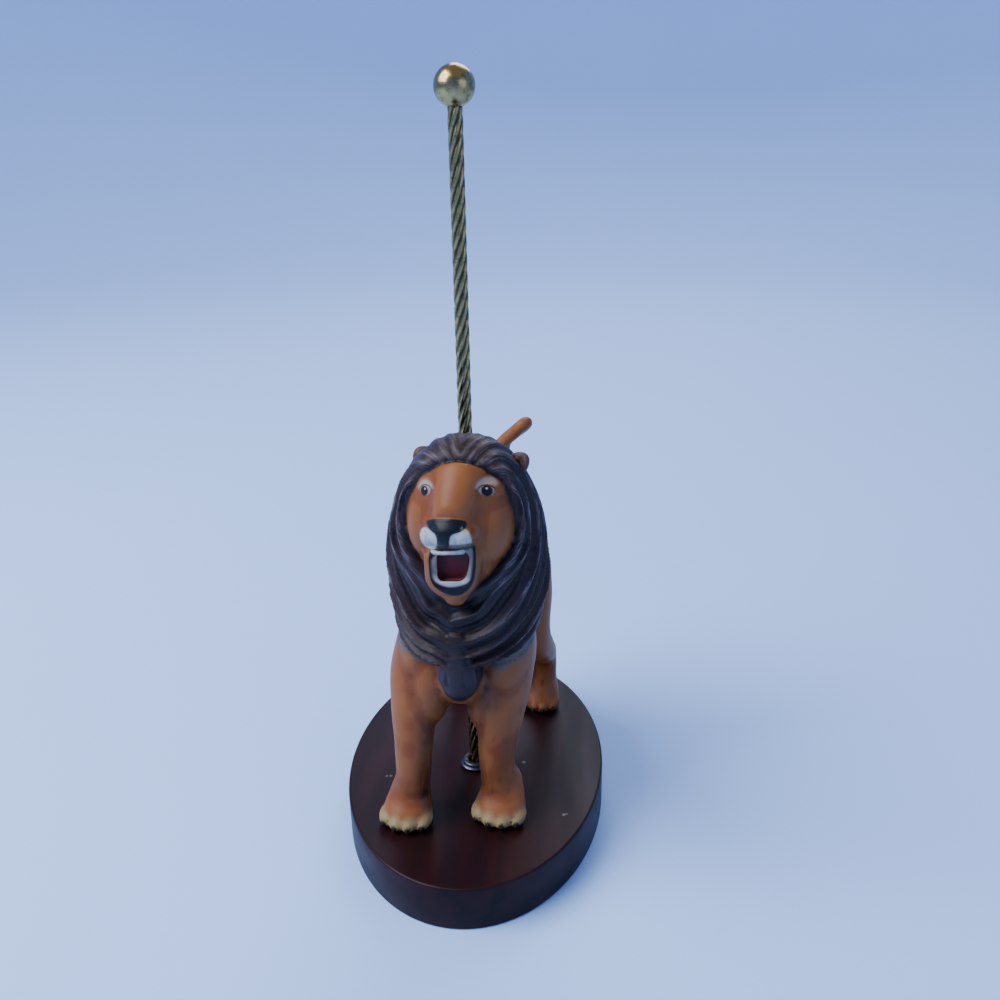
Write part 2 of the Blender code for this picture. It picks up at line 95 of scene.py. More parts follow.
# Lion: sculpting grid, number of faces, and how far the pole's bore reaches, in its own units
BODY_VOXEL = 0.9
BODY_SMOOTHING = 9
FINE_VOXEL = 0.36
FINE_SMOOTHING = 5
LION_FACES = 128000
BORE_REACH = (-20.0, 160.0)

# Turned and rounded edges in metres: base, collar's step, collar's small edges
BASE_EDGE = 0.0007
COLLAR_STEP = 0.0006
COLLAR_EDGE = 0.00015

# Paws, on the ground: middle x, middle y, width, length
PAWS = (
    (-12.6, -28.4, 15.4, 12.8),
    (12.2, -21.8, 15.8, 12.8),
    (13.6, 34.4, 12.6, 12.6),
    (-13.8, 38.6, 12.6, 12.6),
)
FRONT_PAWS = 2

# Paw's outline upwards: height, half width as a share of its width, front and back as shares of its length
PAW_RINGS = (
    (0.2, 0.42, -0.43, 0.44),
    (0.9, 0.46, -0.48, 0.47),
    (2.6, 0.47, -0.49, 0.49),
    (4.4, 0.455, -0.42, 0.52),
    (6.2, 0.425, -0.3, 0.55),
    (8.4, 0.38, -0.12, 0.58),
    (11.0, 0.335, 0.02, 0.58),
    (13.0, 0.3, 0.1, 0.56),
)

# Boxes around the face, each the lion's skin's edges are halved in once, as low and high corners
REFINED_BOXES = (((-16.5, -50.0, 70.0), (16.5, -30.0, 111.0)), ((-9.0, -50.0, 73.0), (11.0, -31.0, 109.0)))

# Face: closed outlines as (x, z) on the upright plane y = FACE_PLANE, as FACE_SIGHT sees them, and y of
# the mouth's opening and back and of the rim behind the lips
FACE_SIGHT = (53.7, -240.5, 189.3)
FACE_PLANE = -42.0
MOUTH_FRONT = -60.0
MOUTH_BACK = -34.4
LIP_DEPTH = -35.4
LIP_RADIUS = 0.45
NOSE = (
    (-4.4, 98.7),
    (4.7, 99.3),
    (5.0, 97.6),
    (3.8, 96.0),
    (1.7, 95.3),
    (1.0, 94.3),
    (0.9, 91.4),
    (-1.9, 91.1),
    (-2.0, 94.8),
    (-3.6, 95.8),
    (-4.5, 97.2),
)
LIP_PATH = (
    (-3.5, 90.4),
    (-3.4, 86.0),
    (-2.9, 83.1),
    (-1.1, 81.1),
    (1.3, 80.5),
    (3.6, 80.7),
    (5.7, 82.2),
    (6.8, 84.8),
    (7.0, 88.5),
    (6.8, 92.4),
)
PADS = (
    ((-6.1, 95.2), (-5.1, 96.7), (-3.7, 96.2), (-2.0, 94.5), (-1.9, 91.3), (-3.4, 91.0), (-5.5, 92.3)),
    ((1.0, 94.9), (1.8, 95.7), (4.3, 97.2), (5.7, 96.1), (6.5, 93.4), (5.2, 92.4), (1.0, 91.8)),
)
LIP_LINE = ((1.0, 92.7), (4.0, 92.9), (6.4, 93.7), (6.9, 92.9), (5.0, 91.9), (1.0, 91.5))
UPPER_TEETH = (
    (-3.6, 91.2),
    (-1.4, 90.7),
    (0.8, 90.9),
    (2.9, 91.3),
    (4.7, 91.8),
    (4.8, 90.4),
    (2.0, 90.1),
    (-0.9, 89.7),
    (-3.0, 89.8),
)
MOUTH = ((-1.8, 90.8), (5.8, 91.6), (5.8, 87.2), (4.8, 83.7), (1.7, 83.3), (-1.5, 83.1), (-1.7, 86.9))
GUMS = (
    (-3.1, 89.9),
    (5.2, 91.6),
    (6.6, 92.6),
    (6.6, 87.9),
    (6.1, 83.6),
    (3.7, 82.3),
    (1.3, 81.8),
    (-0.9, 82.2),
    (-2.6, 83.2),
    (-3.1, 85.7),
)
LIPS = (
    (-3.9, 91.2),
    (-3.0, 91.0),
    (5.6, 92.6),
    (7.1, 93.6),
    (7.5, 89.3),
    (7.3, 85.0),
    (6.6, 82.6),
    (5.1, 80.6),
    (3.2, 79.6),
    (1.2, 79.6),
    (-0.5, 80.3),
    (-2.6, 81.7),
    (-3.6, 84.1),
)
JAW = (
    (-4.5, 90.0),
    (-4.6, 85.2),
    (-4.0, 82.0),
    (-2.4, 79.3),
    (-0.1, 77.4),
    (2.4, 75.8),
    (5.2, 79.2),
    (6.6, 81.7),
    (8.1, 86.3),
    (7.8, 91.5),
)
BROWS = (
    ((-6.7, 105.6), (-6.2, 107.7), (-4.8, 108.4), (-3.5, 107.7), (-2.9, 106.2), (-3.6, 106.2), (-4.7, 107.0)),
    ((6.5, 106.3), (6.9, 108.3), (8.2, 109.5), (9.7, 110.0), (11.3, 109.4), (11.8, 107.9), (9.2, 108.2)),
)
# Eyes: middle x and z, half width and half height of the eye, of its pupil, and x, z and reach of its glint
EYES = (
    ((-4.8, 105.6, 1.2, 1.25), (-5.05, 105.5, 0.85, 1.2), (-4.9, 106.0, 0.2, 0.22)),
    ((9.25, 106.5, 1.85, 1.25), (9.3, 106.5, 1.3, 1.3), (9.2, 107.1, 0.24, 0.24)),
)

# Mane: rings from the edge of the face (0) back to the withers (1)
# share, top y, top z, bottom y, bottom z, half width, side y, drop of the widest place, middle x
MANE_RINGS = (
    (0.00, -29.8, 106.6, -28.0, 77.0, 13.2, -29.0, 0.0, 0.4),
    (0.08, -30.5, 109.0, -30.6, 74.0, 15.0, -29.4, 0.4, 0.2),
    (0.22, -27.5, 112.0, -32.5, 69.0, 17.7, -28.0, 2.0, -0.4),
    (0.42, -20.0, 112.3, -34.0, 61.0, 20.0, -22.0, 3.8, -0.6),
    (0.66, -8.0, 101.8, -33.8, 55.0, 20.6, -15.0, 5.0, -0.4),
    (0.88, 3.0, 85.3, -32.0, 53.5, 20.2, -11.0, 5.5, -0.2),
    (1.00, 8.0, 75.0, -28.0, 53.5, 17.0, -6.0, 3.5, -0.2),
)
CROWN_FAN = 4.0
CROWN_FAN_REACH = 0.12
CHEST_BOW = 0.6
CHEST_BOW_START = 0.5
FIRST_LOCK = 0.43
STRANDS_PER_LOCK = 4.0
HAIRS_PER_LOCK = 8.0
MANE_AROUND = 560
MANE_BACK = 380

# Base: light scuffs on its top, as place in metres, reach and strength
SCUFFS = (
    ((0.0270, -0.0258, BASE_HIGH.z), 0.0007, 0.35),
    ((0.0278, -0.0254, BASE_HIGH.z), 0.0005, 0.25),
    ((0.0144, -0.0030, BASE_HIGH.z), 0.0008, 0.3),
    ((-0.0258, -0.0120, BASE_HIGH.z), 0.0006, 0.25),
    ((-0.0246, -0.0119, BASE_HIGH.z), 0.0006, 0.25),
)


def linear(code):
    """A colour written as #RRGGBB in sRGB, as linear red, green and blue."""
    values = [int(code[i : i + 2], 16) / 255 for i in (1, 3, 5)]
    return tuple(v / 12.92 if v <= 0.04045 else ((v + 0.055) / 1.055) ** 2.4 for v in values)


def colour(name, description, code):
    return FloatVectorProperty(
        name=name, description=description, default=linear(code), subtype="COLOR", min=0.0, max=1.0
    )


class CarouselLionSizes(PropertyGroup):
    """Sizes of the figurine."""

    unit: FloatProperty(
        name="Lion unit",
        description="Real length of one unit of the lion's sculpture",
        default=0.001,
        unit="LENGTH",
        precision=5,
    )
    heading: FloatProperty(
        name="Heading",
        description="Turn of the lion on its pole",
        default=math.radians(-8.0),
        subtype="ANGLE",
    )
    lean: FloatProperty(
        name="Lean", description="Sideways lean of the forequarters for each unit of height", default=0.062
    )
    locks: FloatProperty(
        name="Mane locks", description="Rows of locks from the face back to the withers", default=6.0
    )
    lock_depth: FloatProperty(
        name="Lock depth", description="How far the mane's locks stand out, in the lion's units", default=3.0
    )
    hollow: FloatProperty(
        name="Hollow",
        description="Depth of the smooth hollow between the lower face and the first lock",
        default=1.3,
    )
    strand_depth: FloatProperty(
        name="Strand depth",
        description="How far the strands stand out on each lock, in the lion's units",
        default=0.4,
    )
    fit_gap: FloatProperty(
        name="Fit gap",
        description="Air around the pole in its holes",
        default=0.0003,
        unit="LENGTH",
        precision=5,
    )
    pole_lead: FloatProperty(
        name="Pole lead", description="Height in which a flute goes once round", default=0.0267, unit="LENGTH"
    )
    pole_flutes: IntProperty(name="Pole flutes", description="Number of flutes around the pole", default=6)
    flute_depth: FloatProperty(
        name="Flute depth",
        description="Depth of the pole's flutes",
        default=0.00034,
        unit="LENGTH",
        precision=5,
    )


class CarouselLionColours(PropertyGroup):
    """Colours of the figurine's finishes."""

    coat: colour("Coat", "Tan paint of the lion's coat", "#6E3A18")
    # The pale coat is both the coat's random paler tone and the painted highlight on its raised edges
    coat_pale: colour("Pale coat", "Paler, dry-brushed tan", "#8A562C")
    # Next colour: painted shade, the brown darkening in the coat's recesses and on the legs' inner sides
    coat_shade_wash: colour("Brown wash", "Brown wash that lies in the coat's recesses", "#220E08")
    mane: colour("Mane", "Charcoal-brown paint of the mane", "#2A1D1E")
    # Next colour: painted highlight, with dry-brushing, on the mane's raised locks and strands
    mane_ridge_highlight: colour("Mane ridges", "Grey-brown dry brushing on the mane's ridges", "#6A5E62")
    # Next colour: painted shade, the near-black in the mane's grooves and at the throat
    mane_groove_shade: colour("Mane grooves", "Near-black wash between the locks", "#090506")
    feather: colour("Mane edge", "Greenish grey of the mane's feathered lower edge", "#4A4A42")
    black: colour("Black", "Black of nose, lips and pupils", "#0C0E11")
    white: colour("White", "White of muzzle, teeth and brows", "#A3A6A0")
    mouth: colour("Mouth", "Dark red of the open mouth", "#4A0C12")
    cream: colour("Toes", "Ivory of the front toes", "#8C784E")
    # The claw colour also paints shade in the toe grooves and contact shade under the paws
    claw: colour("Claws", "Dark brown of claws and of the grooves between toes", "#120A07")
    wood: colour("Wood stain", "Mahogany stain of the base", "#240A0C")
    wood_dark: colour("Wood pores", "Dark grain and pores of the base", "#0C0506")
    brass: colour("Brass", "Polished ridges of the antiqued brass", "#A08D5C")
    patina: colour("Patina", "Dark patina in the brass's hollows", "#17140D")
    steel: colour("Collar", "Dulled metal of the foot collar", "#4E4D52")
    floor: colour("Floor", "Pale studio floor", "#A8CCFC")


# Mesh tools


def link_mesh(name, mesh):
    thing = bpy.data.objects.new(name, mesh)
    bpy.context.scene.collection.objects.link(thing)
    return thing


def mesh_from(name, bm):
    mesh = bpy.data.meshes.new(name)
    bmesh.ops.recalc_face_normals(bm, faces=bm.faces)
    bm.to_mesh(mesh)
    bm.free()
    return mesh


def evaluated_mesh(thing):
    """The object's mesh with its modifiers applied, and the object removed."""
    graph = bpy.context.evaluated_depsgraph_get()
    mesh = bpy.data.meshes.new_from_object(thing.evaluated_get(graph))
    bpy.data.objects.remove(thing, do_unlink=True)
    return mesh


def joined(name, meshes):
    """One mesh that holds the given meshes side by side."""
    bm = bmesh.new()
    for mesh in meshes:
        bm.from_mesh(mesh)
    mesh = bpy.data.meshes.new(name)
    bm.to_mesh(mesh)
    bm.free()
    return mesh


def mesh_points(mesh):
    flat = np.empty(len(mesh.vertices) * 3, np.float32)
    mesh.vertices.foreach_get("co", flat)
    return flat.reshape(-1, 3).astype(float)


def place_points(mesh, points):
    mesh.vertices.foreach_set("co", np.asarray(points, np.float32).ravel())
    mesh.update()


def smoothstep(value, low, high):
    x = np.clip((value - low) / (high - low), 0, 1)
    return x * x * (3 - 2 * x)


def ellipsoid(centre, radii, tilt=(0.0, 0.0, 0.0), segments=40):
    """An ellipsoid, tilted by angles in degrees about X, Y and Z."""
    bm = bmesh.new()
    turn = Euler([math.radians(angle) for angle in tilt]).to_matrix().to_4x4()
    place = Matrix.Translation(centre) @ turn @ Matrix.Diagonal((*radii, 1.0))
    bmesh.ops.create_uvsphere(bm, u_segments=segments, v_segments=segments // 2, radius=1.0, matrix=place)
    return mesh_from("ellipsoid", bm)


def tube(stations, bevel_steps=7):
    """A round tube through (x, y, z, radius) stations, on a smooth curve."""
    curve = bpy.data.curves.new("tube", "CURVE")
    curve.dimensions = "3D"
    curve.bevel_depth = 1.0
    curve.bevel_resolution = bevel_steps
    curve.resolution_u = 12
    curve.use_fill_caps = True
    spline = curve.splines.new("BEZIER")
    spline.bezier_points.add(len(stations) - 1)
    for point, (x, y, z, radius) in zip(spline.bezier_points, stations):
        point.co = (x, y, z)
        point.radius = radius
        point.handle_left_type = "AUTO"
        point.handle_right_type = "AUTO"
    return evaluated_mesh(link_mesh("tube", curve))


def mirrored(stations, side):
    return [(side * x, *rest) for x, *rest in stations]


def lofted(rings, closed=True):
    """A form through rings of points, floored at the first ring and, where closed, roofed at the last."""
    rings = np.asarray(rings, float)
    count, around = rings.shape[:2]
    index = np.arange(count * around).reshape(count, around)
    after = np.roll(index, -1, axis=1)
    faces = np.stack([index[:-1], after[:-1], after[1:], index[1:]], axis=-1).reshape(-1, 4).tolist()
    faces.append(index[0].tolist()[::-1])
    if closed:
        faces.append(index[-1].tolist())
    mesh = bpy.data.meshes.new("lofted")
    mesh.from_pydata(rings.reshape(-1, 3).tolist(), [], faces)
    bm = bmesh.new()
    bm.from_mesh(mesh)
    return mesh_from("lofted", bm)


def refined(mesh, low, high):
    """The mesh with every edge between the low and high corners of a box halved."""
    bm = bmesh.new()
    bm.from_mesh(mesh)
    bmesh.ops.triangulate(bm, faces=bm.faces)
    bm.verts.index_update()
    inside = [all(low[i] < vert.co[i] < high[i] for i in range(3)) for vert in bm.verts]
    edges = [edge for edge in bm.edges if all(inside[vert.index] for vert in edge.verts)]
    bmesh.ops.subdivide_edges(bm, edges=edges, cuts=1, use_grid_fill=True)
    bmesh.ops.triangulate(bm, faces=bm.faces)
    return mesh_from("refined", bm)


def cylinder(radius, low, high, sides=48):
    bm = bmesh.new()
    middle = Matrix.Translation((0, 0, (low + high) / 2))
    bmesh.ops.create_cone(
        bm, cap_ends=True, segments=sides, radius1=radius, radius2=radius, depth=high - low, matrix=middle
    )
    return mesh_from("cylinder", bm)


def remeshed(meshes, voxel, smoothing):
    """The meshes fused into one skin, with its creases softened."""
    thing = link_mesh("fused", joined("fused", meshes))
    fuse = thing.modifiers.new("fuse", "REMESH")
    fuse.mode = "VOXEL"
    fuse.voxel_size = voxel
    soften = thing.modifiers.new("soften", "SMOOTH")
    soften.iterations = smoothing
    return evaluated_mesh(thing)


def cut(mesh, cutter_mesh):
    """The mesh with the cutter's volume taken out."""
    thing = link_mesh("cut", mesh)
    cutter = link_mesh("cutter", cutter_mesh)
    difference = thing.modifiers.new("difference", "BOOLEAN")
    difference.operation = "DIFFERENCE"
    difference.solver = "EXACT"
    difference.object = cutter
    result = evaluated_mesh(thing)
    bpy.data.objects.remove(cutter, do_unlink=True)
    return result


def revolved(profile, steps):
    """The closed (radius, height) profile turned once about Z."""
    bm = bmesh.new()
    verts = [bm.verts.new((radius, 0, height)) for radius, height in profile]
    edges = [bm.edges.new((verts[i], verts[(i + 1) % len(verts)])) for i in range(len(verts))]
    bmesh.ops.spin(
        bm, geom=verts + edges, cent=(0, 0, 0), axis=(0, 0, 1), angle=2 * math.pi, steps=steps, use_merge=True
    )
    bmesh.ops.remove_doubles(bm, verts=bm.verts, dist=1e-6)
    return mesh_from("revolved", bm)


# The lion's forms


def foreleg(side, stride, splay):
    """A straight foreleg from shoulder to fetlock; stride moves its paw forward, splay its middle outward."""
    stations = (
        (11.0, -17.0, 56.0, 7.5),
        (12.4 + 0.85 * splay, -18.0 - 0.2 * stride, 44.0, 7.3),
        (12.1 + splay, -18.5 - 0.5 * stride, 34.0, 6.5),
        (11.4 + splay, -18.8 - 0.8 * stride, 24.0, 5.5),
        (11.4 + 0.65 * splay, -18.8 - stride, 13.5, 4.9),
        (11.9 + 0.2 * splay, -18.8 - stride, 7.0, 5.0),
    )
    return tube(mirrored(stations, side))


def hindleg(side, stride):
    """A hind leg with knee and hock; stride moves its paw forward."""
    stations = (
        (8.0, 31.0, 55.0, 9.3),
        (9.8, 28.0 - 0.3 * stride, 45.0, 8.8),
        (11.9, 25.0 - 0.6 * stride, 34.0, 7.0),
        (14.2, 31.5 - 0.8 * stride, 25.5, 5.0),
        (14.3, 40.0 - stride, 18.0, 4.1),
        (14.3, 40.0 - stride, 10.0, 4.0),
        (14.3, 38.5 - stride, 4.5, 4.4),
    )
    return tube(mirrored(stations, side))


def paw_form(centre_x, centre_y, width, length):
    """A paw that slopes forward from the ankle and flares down to a flat sole."""
    rings = []
    around = np.linspace(0, 2 * math.pi, 48, endpoint=False)
    for height, half_width, front, back in PAW_RINGS:
        x = centre_x + half_width * width * np.cos(around)
        y = centre_y + length * ((back + front) / 2 + (back - front) / 2 * np.sin(around))
        rings.append(np.stack([x, y, height + 0 * around], axis=1))
    return lofted(rings)


def toe_places(centre_x, centre_y, width, length):
    """Middle x, middle y and sideways share of the four toes, the middle two ahead."""
    for toe in range(4):
        across = (toe - 1.5) / 1.5
        yield centre_x + 0.34 * width * across, centre_y - 0.27 * length + 0.14 * length * across**2, across


def toes(paw):
    width, length = paw[2:]
    return [
        ellipsoid((x, y, 2.5), (0.15 * width, 0.27 * length, 2.35), (16, 0, -12 * across))
        for x, y, across in toe_places(*paw)
    ]


def claws(paw):
    """Short claws that show low on the front of each toe."""
    length = paw[3]
    return [
        ellipsoid((x + 0.3 * across, y - 0.25 * length, 1.7), (0.7, 0.75, 0.95), (-20, 0, -12 * across), 16)
        for x, y, across in toe_places(*paw)
    ]


def head_parts():
    """Skull, brow, cheeks, muzzle and the jaw's rim, before the mouth is cut."""
    parts = [
        ellipsoid((0, -24.0, 93.5), (14.8, 11.8, 17.4)),
        ellipsoid((0.3, -28.0, 98.5), (12.0, 8.0, 9.6)),
        tube(((0.3, -28.4, 104.0, 7.0), (0.3, -33.4, 100.2, 6.1), (0.2, -37.9, 96.7, 4.4))),
        ellipsoid((0.3, -35.6, 94.0), (6.8, 6.4, 5.0)),
        ellipsoid((0.8, -32.4, 85.6), (6.6, 4.8, 7.4)),
        ellipsoid((0.6, -31.0, 81.0), (6.0, 6.4, 6.6), (20, 0, 0)),
        tube(((0.6, -31.6, 80.0, 5.4), (0.8, -33.4, 76.2, 4.0), (0.8, -34.4, 72.8, 2.0))),
        tube([(*sighted([spot], LIP_DEPTH)[0], 1.7) for spot in LIP_PATH]),
    ]
    for side in (-1, 1):
        parts.append(ellipsoid((side * 7.0 + 0.3, -28.4, 92.5), (6.2, 7.2, 10.0)))
        parts.append(ellipsoid((side * 4.6 + 0.6, -28.5, 84.2), (4.8, 5.2, 6.6)))
        parts.append(ellipsoid((side * 6.4 + 0.4, -29.6, 102.6), (4.2, 4.0, 2.6)))
    return parts


def body_parts():
    """The smooth forms of trunk, limbs and head."""
    parts = [
        ellipsoid((0, -14, 57), (15.6, 14, 18)),
        ellipsoid((0, -20, 47), (8.0, 9.0, 11.0)),
        ellipsoid((7.0, -18, 38), (6.5, 6.0, 13.0)),
        ellipsoid((-8.2, -22, 42), (6.0, 6.0, 13.5)),
        ellipsoid((0, 4, 58), (14.8, 27, 17)),
        ellipsoid((0, 24, 59), (12.8, 20, 14.5)),
        ellipsoid((0, 33, 57.5), (12.2, 13, 15)),
        ellipsoid((0, -5, 68), (9.5, 16, 11.5), (-18, 0, 0)),
        tube(((0, -4, 62, 14), (0, -12, 78, 14.5), (0, -19, 92, 13.5), (0, -21, 98, 12.5))),
    ]
    for side in (-1, 1):
        parts.append(ellipsoid((side * 11.5, -16, 50), (7.0, 11.0, 15.5), (8, 0, 0)))
        parts.append(ellipsoid((side * 8.2, 31, 48), (7.2, 13, 16), (-14, side * 6, 0)))
    parts += [foreleg(-1, 6.5, 0.8), foreleg(1, 0.0, -1.4), hindleg(1, 4.0), hindleg(-1, 0.0)]
    parts += [paw_form(*paw) for paw in PAWS]
    parts += head_parts()
    return parts


def rounded(outline):
    """The closed outline with its corners cut twice."""
    points = np.array(outline)
    for _ in range(2):
        after = np.roll(points, -1, axis=0)
        points = np.stack([0.75 * points + 0.25 * after, 0.25 * points + 0.75 * after], axis=1).reshape(-1, 2)
    return points


def sighted(outline, depth):
    """The outline's points moved along the lines of sight to the upright plane y = depth."""
    eye_x, eye_y, eye_z = FACE_SIGHT
    reach = (depth - eye_y) / (FACE_PLANE - eye_y)
    return [(eye_x + (x - eye_x) * reach, depth, eye_z + (z - eye_z) * reach) for x, z in outline]


def pocket(outline, front, back):
    """A plug of the outline's shape between two depths, to cut a hollow with."""
    outline = rounded(outline)
    return lofted([sighted(outline, front), sighted(outline, back)])


def mane_ring_values(share):
    """The ring sizes at a share of the way from face to withers."""
    table = np.array(MANE_RINGS)
    slopes = np.gradient(table[:, 1:], table[:, 0], axis=0)
    index = np.clip(np.searchsorted(table[:, 0], share, side="right") - 1, 0, len(table) - 2)
    span = table[index + 1, 0] - table[index, 0]
    x = ((share - table[index, 0]) / span)[:, None]
    low, high = table[index, 1:], table[index + 1, 1:]
    slope_low, slope_high = slopes[index] * span[:, None], slopes[index + 1] * span[:, None]
    return (
        (2 * x**3 - 3 * x**2 + 1) * low
        + (x**3 - 2 * x**2 + x) * slope_low
        + (3 * x**2 - 2 * x**3) * high
        + (x**3 - x**2) * slope_high
    )


def mane_surface(around, share):
    """Points on the smooth mane. around runs 0 at the crown to 1 at the chest, negative on the right."""
    top_y, top_z, low_y, low_z, half_width, side_y, drop, middle_x = mane_ring_values(share.ravel()).T
    angle = math.pi * np.abs(around).ravel()
    sine, cosine = np.sin(angle), np.cos(angle)
    egg = 1 - smoothstep(share.ravel(), 0.05, 0.3)
    half_width *= 1 + egg * (0.2 * cosine - 0.35 * np.maximum(-cosine, 0) ** 3)
    x = middle_x + np.sign(around).ravel() * half_width * np.abs(sine) ** 0.9
    middle_y = (top_y + low_y) / 2
    y = middle_y + (top_y - low_y) / 2 * cosine + (side_y - middle_y) * sine**2
    z = (top_z + low_z) / 2 + (top_z - low_z) / 2 * cosine - drop * sine**2
    return np.stack([x, y, z], axis=-1).reshape(*around.shape, 3)


def side_at(around):
    """-1 on the lion's right and 1 on its left, fading to 0 where the sides meet on the chest."""
    return np.sign(around) * (1 - smoothstep(np.abs(around), 0.85, 1.0))


def lock_number(around, share, locks):
    """Which lock a place lies on, as a running number: locks fan from the crown and run into the chest."""
    t = np.abs(around)
    crown = CROWN_FAN * np.exp(-t / CROWN_FAN_REACH)
    low = np.clip((t - CHEST_BOW_START) / (1 - CHEST_BOW_START), 0, 1)
    chest = CHEST_BOW * np.sin(math.pi * low**1.3)
    sway = 0.14 * np.sin(2 * math.pi * (1.7 * t + 0.9 * share)) + 0.1 * np.sin(9 * t + 3 * side_at(around))
    return FIRST_LOCK + locks * share + crown + chest + sway


def ridged(number, roundness, skew=1.0):
    """1 along each numbered strip's ridge, down to 0 at its edges; skew moves the ridge off the middle."""
    return 1.0 - np.abs(2 * (number - np.floor(number)) ** skew - 1) ** roundness


def lock_height(around, share, sizes):
    """How far locks and strands stand out from the smooth mane: fine at the crown, bold on the sides."""
    t = np.abs(around)
    along = lock_number(around, share, sizes.locks)
    lock = np.floor(along)
    size = 0.8 + 0.2 * np.sin(lock * 2.4 + side_at(around) + 4.0 * t)
    size *= (0.2 + 0.8 * smoothstep(t, 0.12, 0.42)) * (1 - 0.55 * smoothstep(t, 0.9, 1.0))
    wave = 0.2 * np.sin(9 * t + 1.7 * lock) + 0.1 * np.sin(19 * t + 2.9 * lock)
    strand = STRANDS_PER_LOCK * along
    strands = ridged(strand + wave, 1.8) * (0.75 + 0.25 * np.sin(5.3 * np.floor(strand) + 6 * t))
    hairs = ridged(HAIRS_PER_LOCK * along + 2 * wave, 1.6)
    below = smoothstep(t, 0.35, 0.5)
    edge = below * smoothstep(share, 0.1, 0.18) + (1 - below) * smoothstep(share, 0, 0.1)
    edge *= 1 - smoothstep(share, 0.85, 1.02)
    fine_edge = np.clip(share / 0.03, 0, 1) * np.clip((1.0 - share) / 0.16, 0, 1)
    hollow = sizes.hollow * np.exp(-(((share - 0.11) / 0.06) ** 2)) * smoothstep(t, 0.42, 0.7)
    relief = sizes.strand_depth * (0.8 + 0.7 * below) * (strands - 0.5 + 0.3 * (hairs - 0.5))
    relief *= 1 - 0.65 * hollow
    return sizes.lock_depth * ridged(along, 1.3, 1.25) * size * edge + relief * fine_edge - hollow


def mane(sizes):
    """The mane as one closed form with its locks and strands, and its rings of points."""
    turns = np.linspace(-1, 1, MANE_AROUND, endpoint=False) + 1 / MANE_AROUND
    share, around = np.meshgrid(np.linspace(0, 1, MANE_BACK), turns, indexing="ij")
    small = 1e-3
    back = mane_surface(around, np.clip(share + small, 0, 1))
    back -= mane_surface(around, np.clip(share - small, 0, 1))
    turn = mane_surface(around + small, share) - mane_surface(around - small, share)
    normal = np.cross(back, turn)
    normal /= np.linalg.norm(normal, axis=-1, keepdims=True) + 1e-9
    rings = mane_surface(around, share) + normal * lock_height(around, share, sizes)[..., None]
    return lofted(rings), rings


def chest_tuft():
    """The pointed tuft between the forelegs, where the locks meet and turn down."""
    parts = [
        ellipsoid((1.2, -27.5, 49.6), (5.5, 5.4, 8.0), (-8, 0, 0)),
        tube(((0.8, -31.4, 63.0, 1.6), (1.0, -30.9, 57.0, 3.2), (1.2, -28.8, 50.5, 4.6))),
    ]
    for strand in range(7):
        x = strand - 3.0
        bow = 0.3 * math.sin(2.1 * strand)
        stations = (
            (0.35 * x + 0.8, -32.8, 63.5, 0.7),
            (0.85 * x + 1.1 + bow, -33.0 + 0.12 * x * x, 56.5, 1.0),
            (1.35 * x + 1.2 - bow, -32.2 + 0.14 * x * x, 49.5, 1.15),
            (0.6 * x + 1.5, -29.2, 42.2 + 0.5 * abs(x), 0.5),
        )
        parts.append(tube(stations))
    return parts


def ear(side):
    """A rounded ear with a hollow front."""
    bm = bmesh.new()
    bmesh.ops.create_uvsphere(bm, u_segments=40, v_segments=24, radius=1.0)
    for vert in bm.verts:
        if vert.co.y < 0:
            vert.co.y *= 1.0 - 1.3 * math.exp(-(vert.co.x**2 + vert.co.z**2) / 0.4)
    turn = Euler([math.radians(angle) for angle in (-22, side * 40, side * -28)]).to_matrix().to_4x4()
    place = Matrix.Translation((side * 10.9 + 0.1, -20.3, 104.3)) @ turn
    place = place @ Matrix.Diagonal((3.0, 2.2, 4.3, 1.0))
    bmesh.ops.transform(bm, matrix=place, verts=bm.verts)
    return mesh_from("ear", bm)


def tail_rope():
    """The tail rises from the rump, arches over to the lion's left and hangs down behind."""
    stations = (
        (0.0, 41.0, 66.0, 3.4),
        (-3.4, 44.5, 75.0, 2.7),
        (-3.6, 44.6, 82.2, 2.2),
        (-0.2, 44.2, 87.0, 2.0),
        (3.6, 44.2, 90.7, 1.95),
        (6.7, 44.7, 93.4, 1.95),
        (6.0, 47.6, 91.8, 1.95),
        (2.6, 49.8, 88.6, 1.95),
        (-1.3, 51.4, 84.0, 2.0),
        (-1.0, 52.5, 75.5, 2.2),
    )
    return tube(stations)


def tail_tuft():
    """The tuft at the tail's end, with its strands."""
    parts = [tube(((-0.5, 52.5, 76, 2.0), (-0.8, 53, 70, 3.4), (-0.8, 52.5, 65, 2.8), (-0.6, 51.5, 60, 0.8)))]
    for strand in range(9):
        angle = 2 * math.pi * strand / 9
        x, y = math.cos(angle), math.sin(angle)
        swirl_x, swirl_y = math.cos(angle + 0.5), math.sin(angle + 0.5)
        stations = (
            (-0.5 + 1.7 * x, 52.5 + 1.7 * y, 76.5, 0.5),
            (-0.8 + 2.8 * x, 53.0 + 2.8 * y, 70.5, 0.95),
            (-0.8 + 2.4 * swirl_x, 52.6 + 2.4 * swirl_y, 65, 0.9),
            (-0.6 + 0.7 * swirl_x, 51.6 + 0.7 * swirl_y, 59.8, 0.3),
        )
        parts.append(tube(stations, 4))
    return parts


def seen_at(head, x, z):
    """The place where the line of sight through (x, z) of the face's outlines meets the head."""
    eye = Vector(FACE_SIGHT)
    return head.ray_cast(eye, Vector((x, FACE_PLANE, z)) - eye)[0]


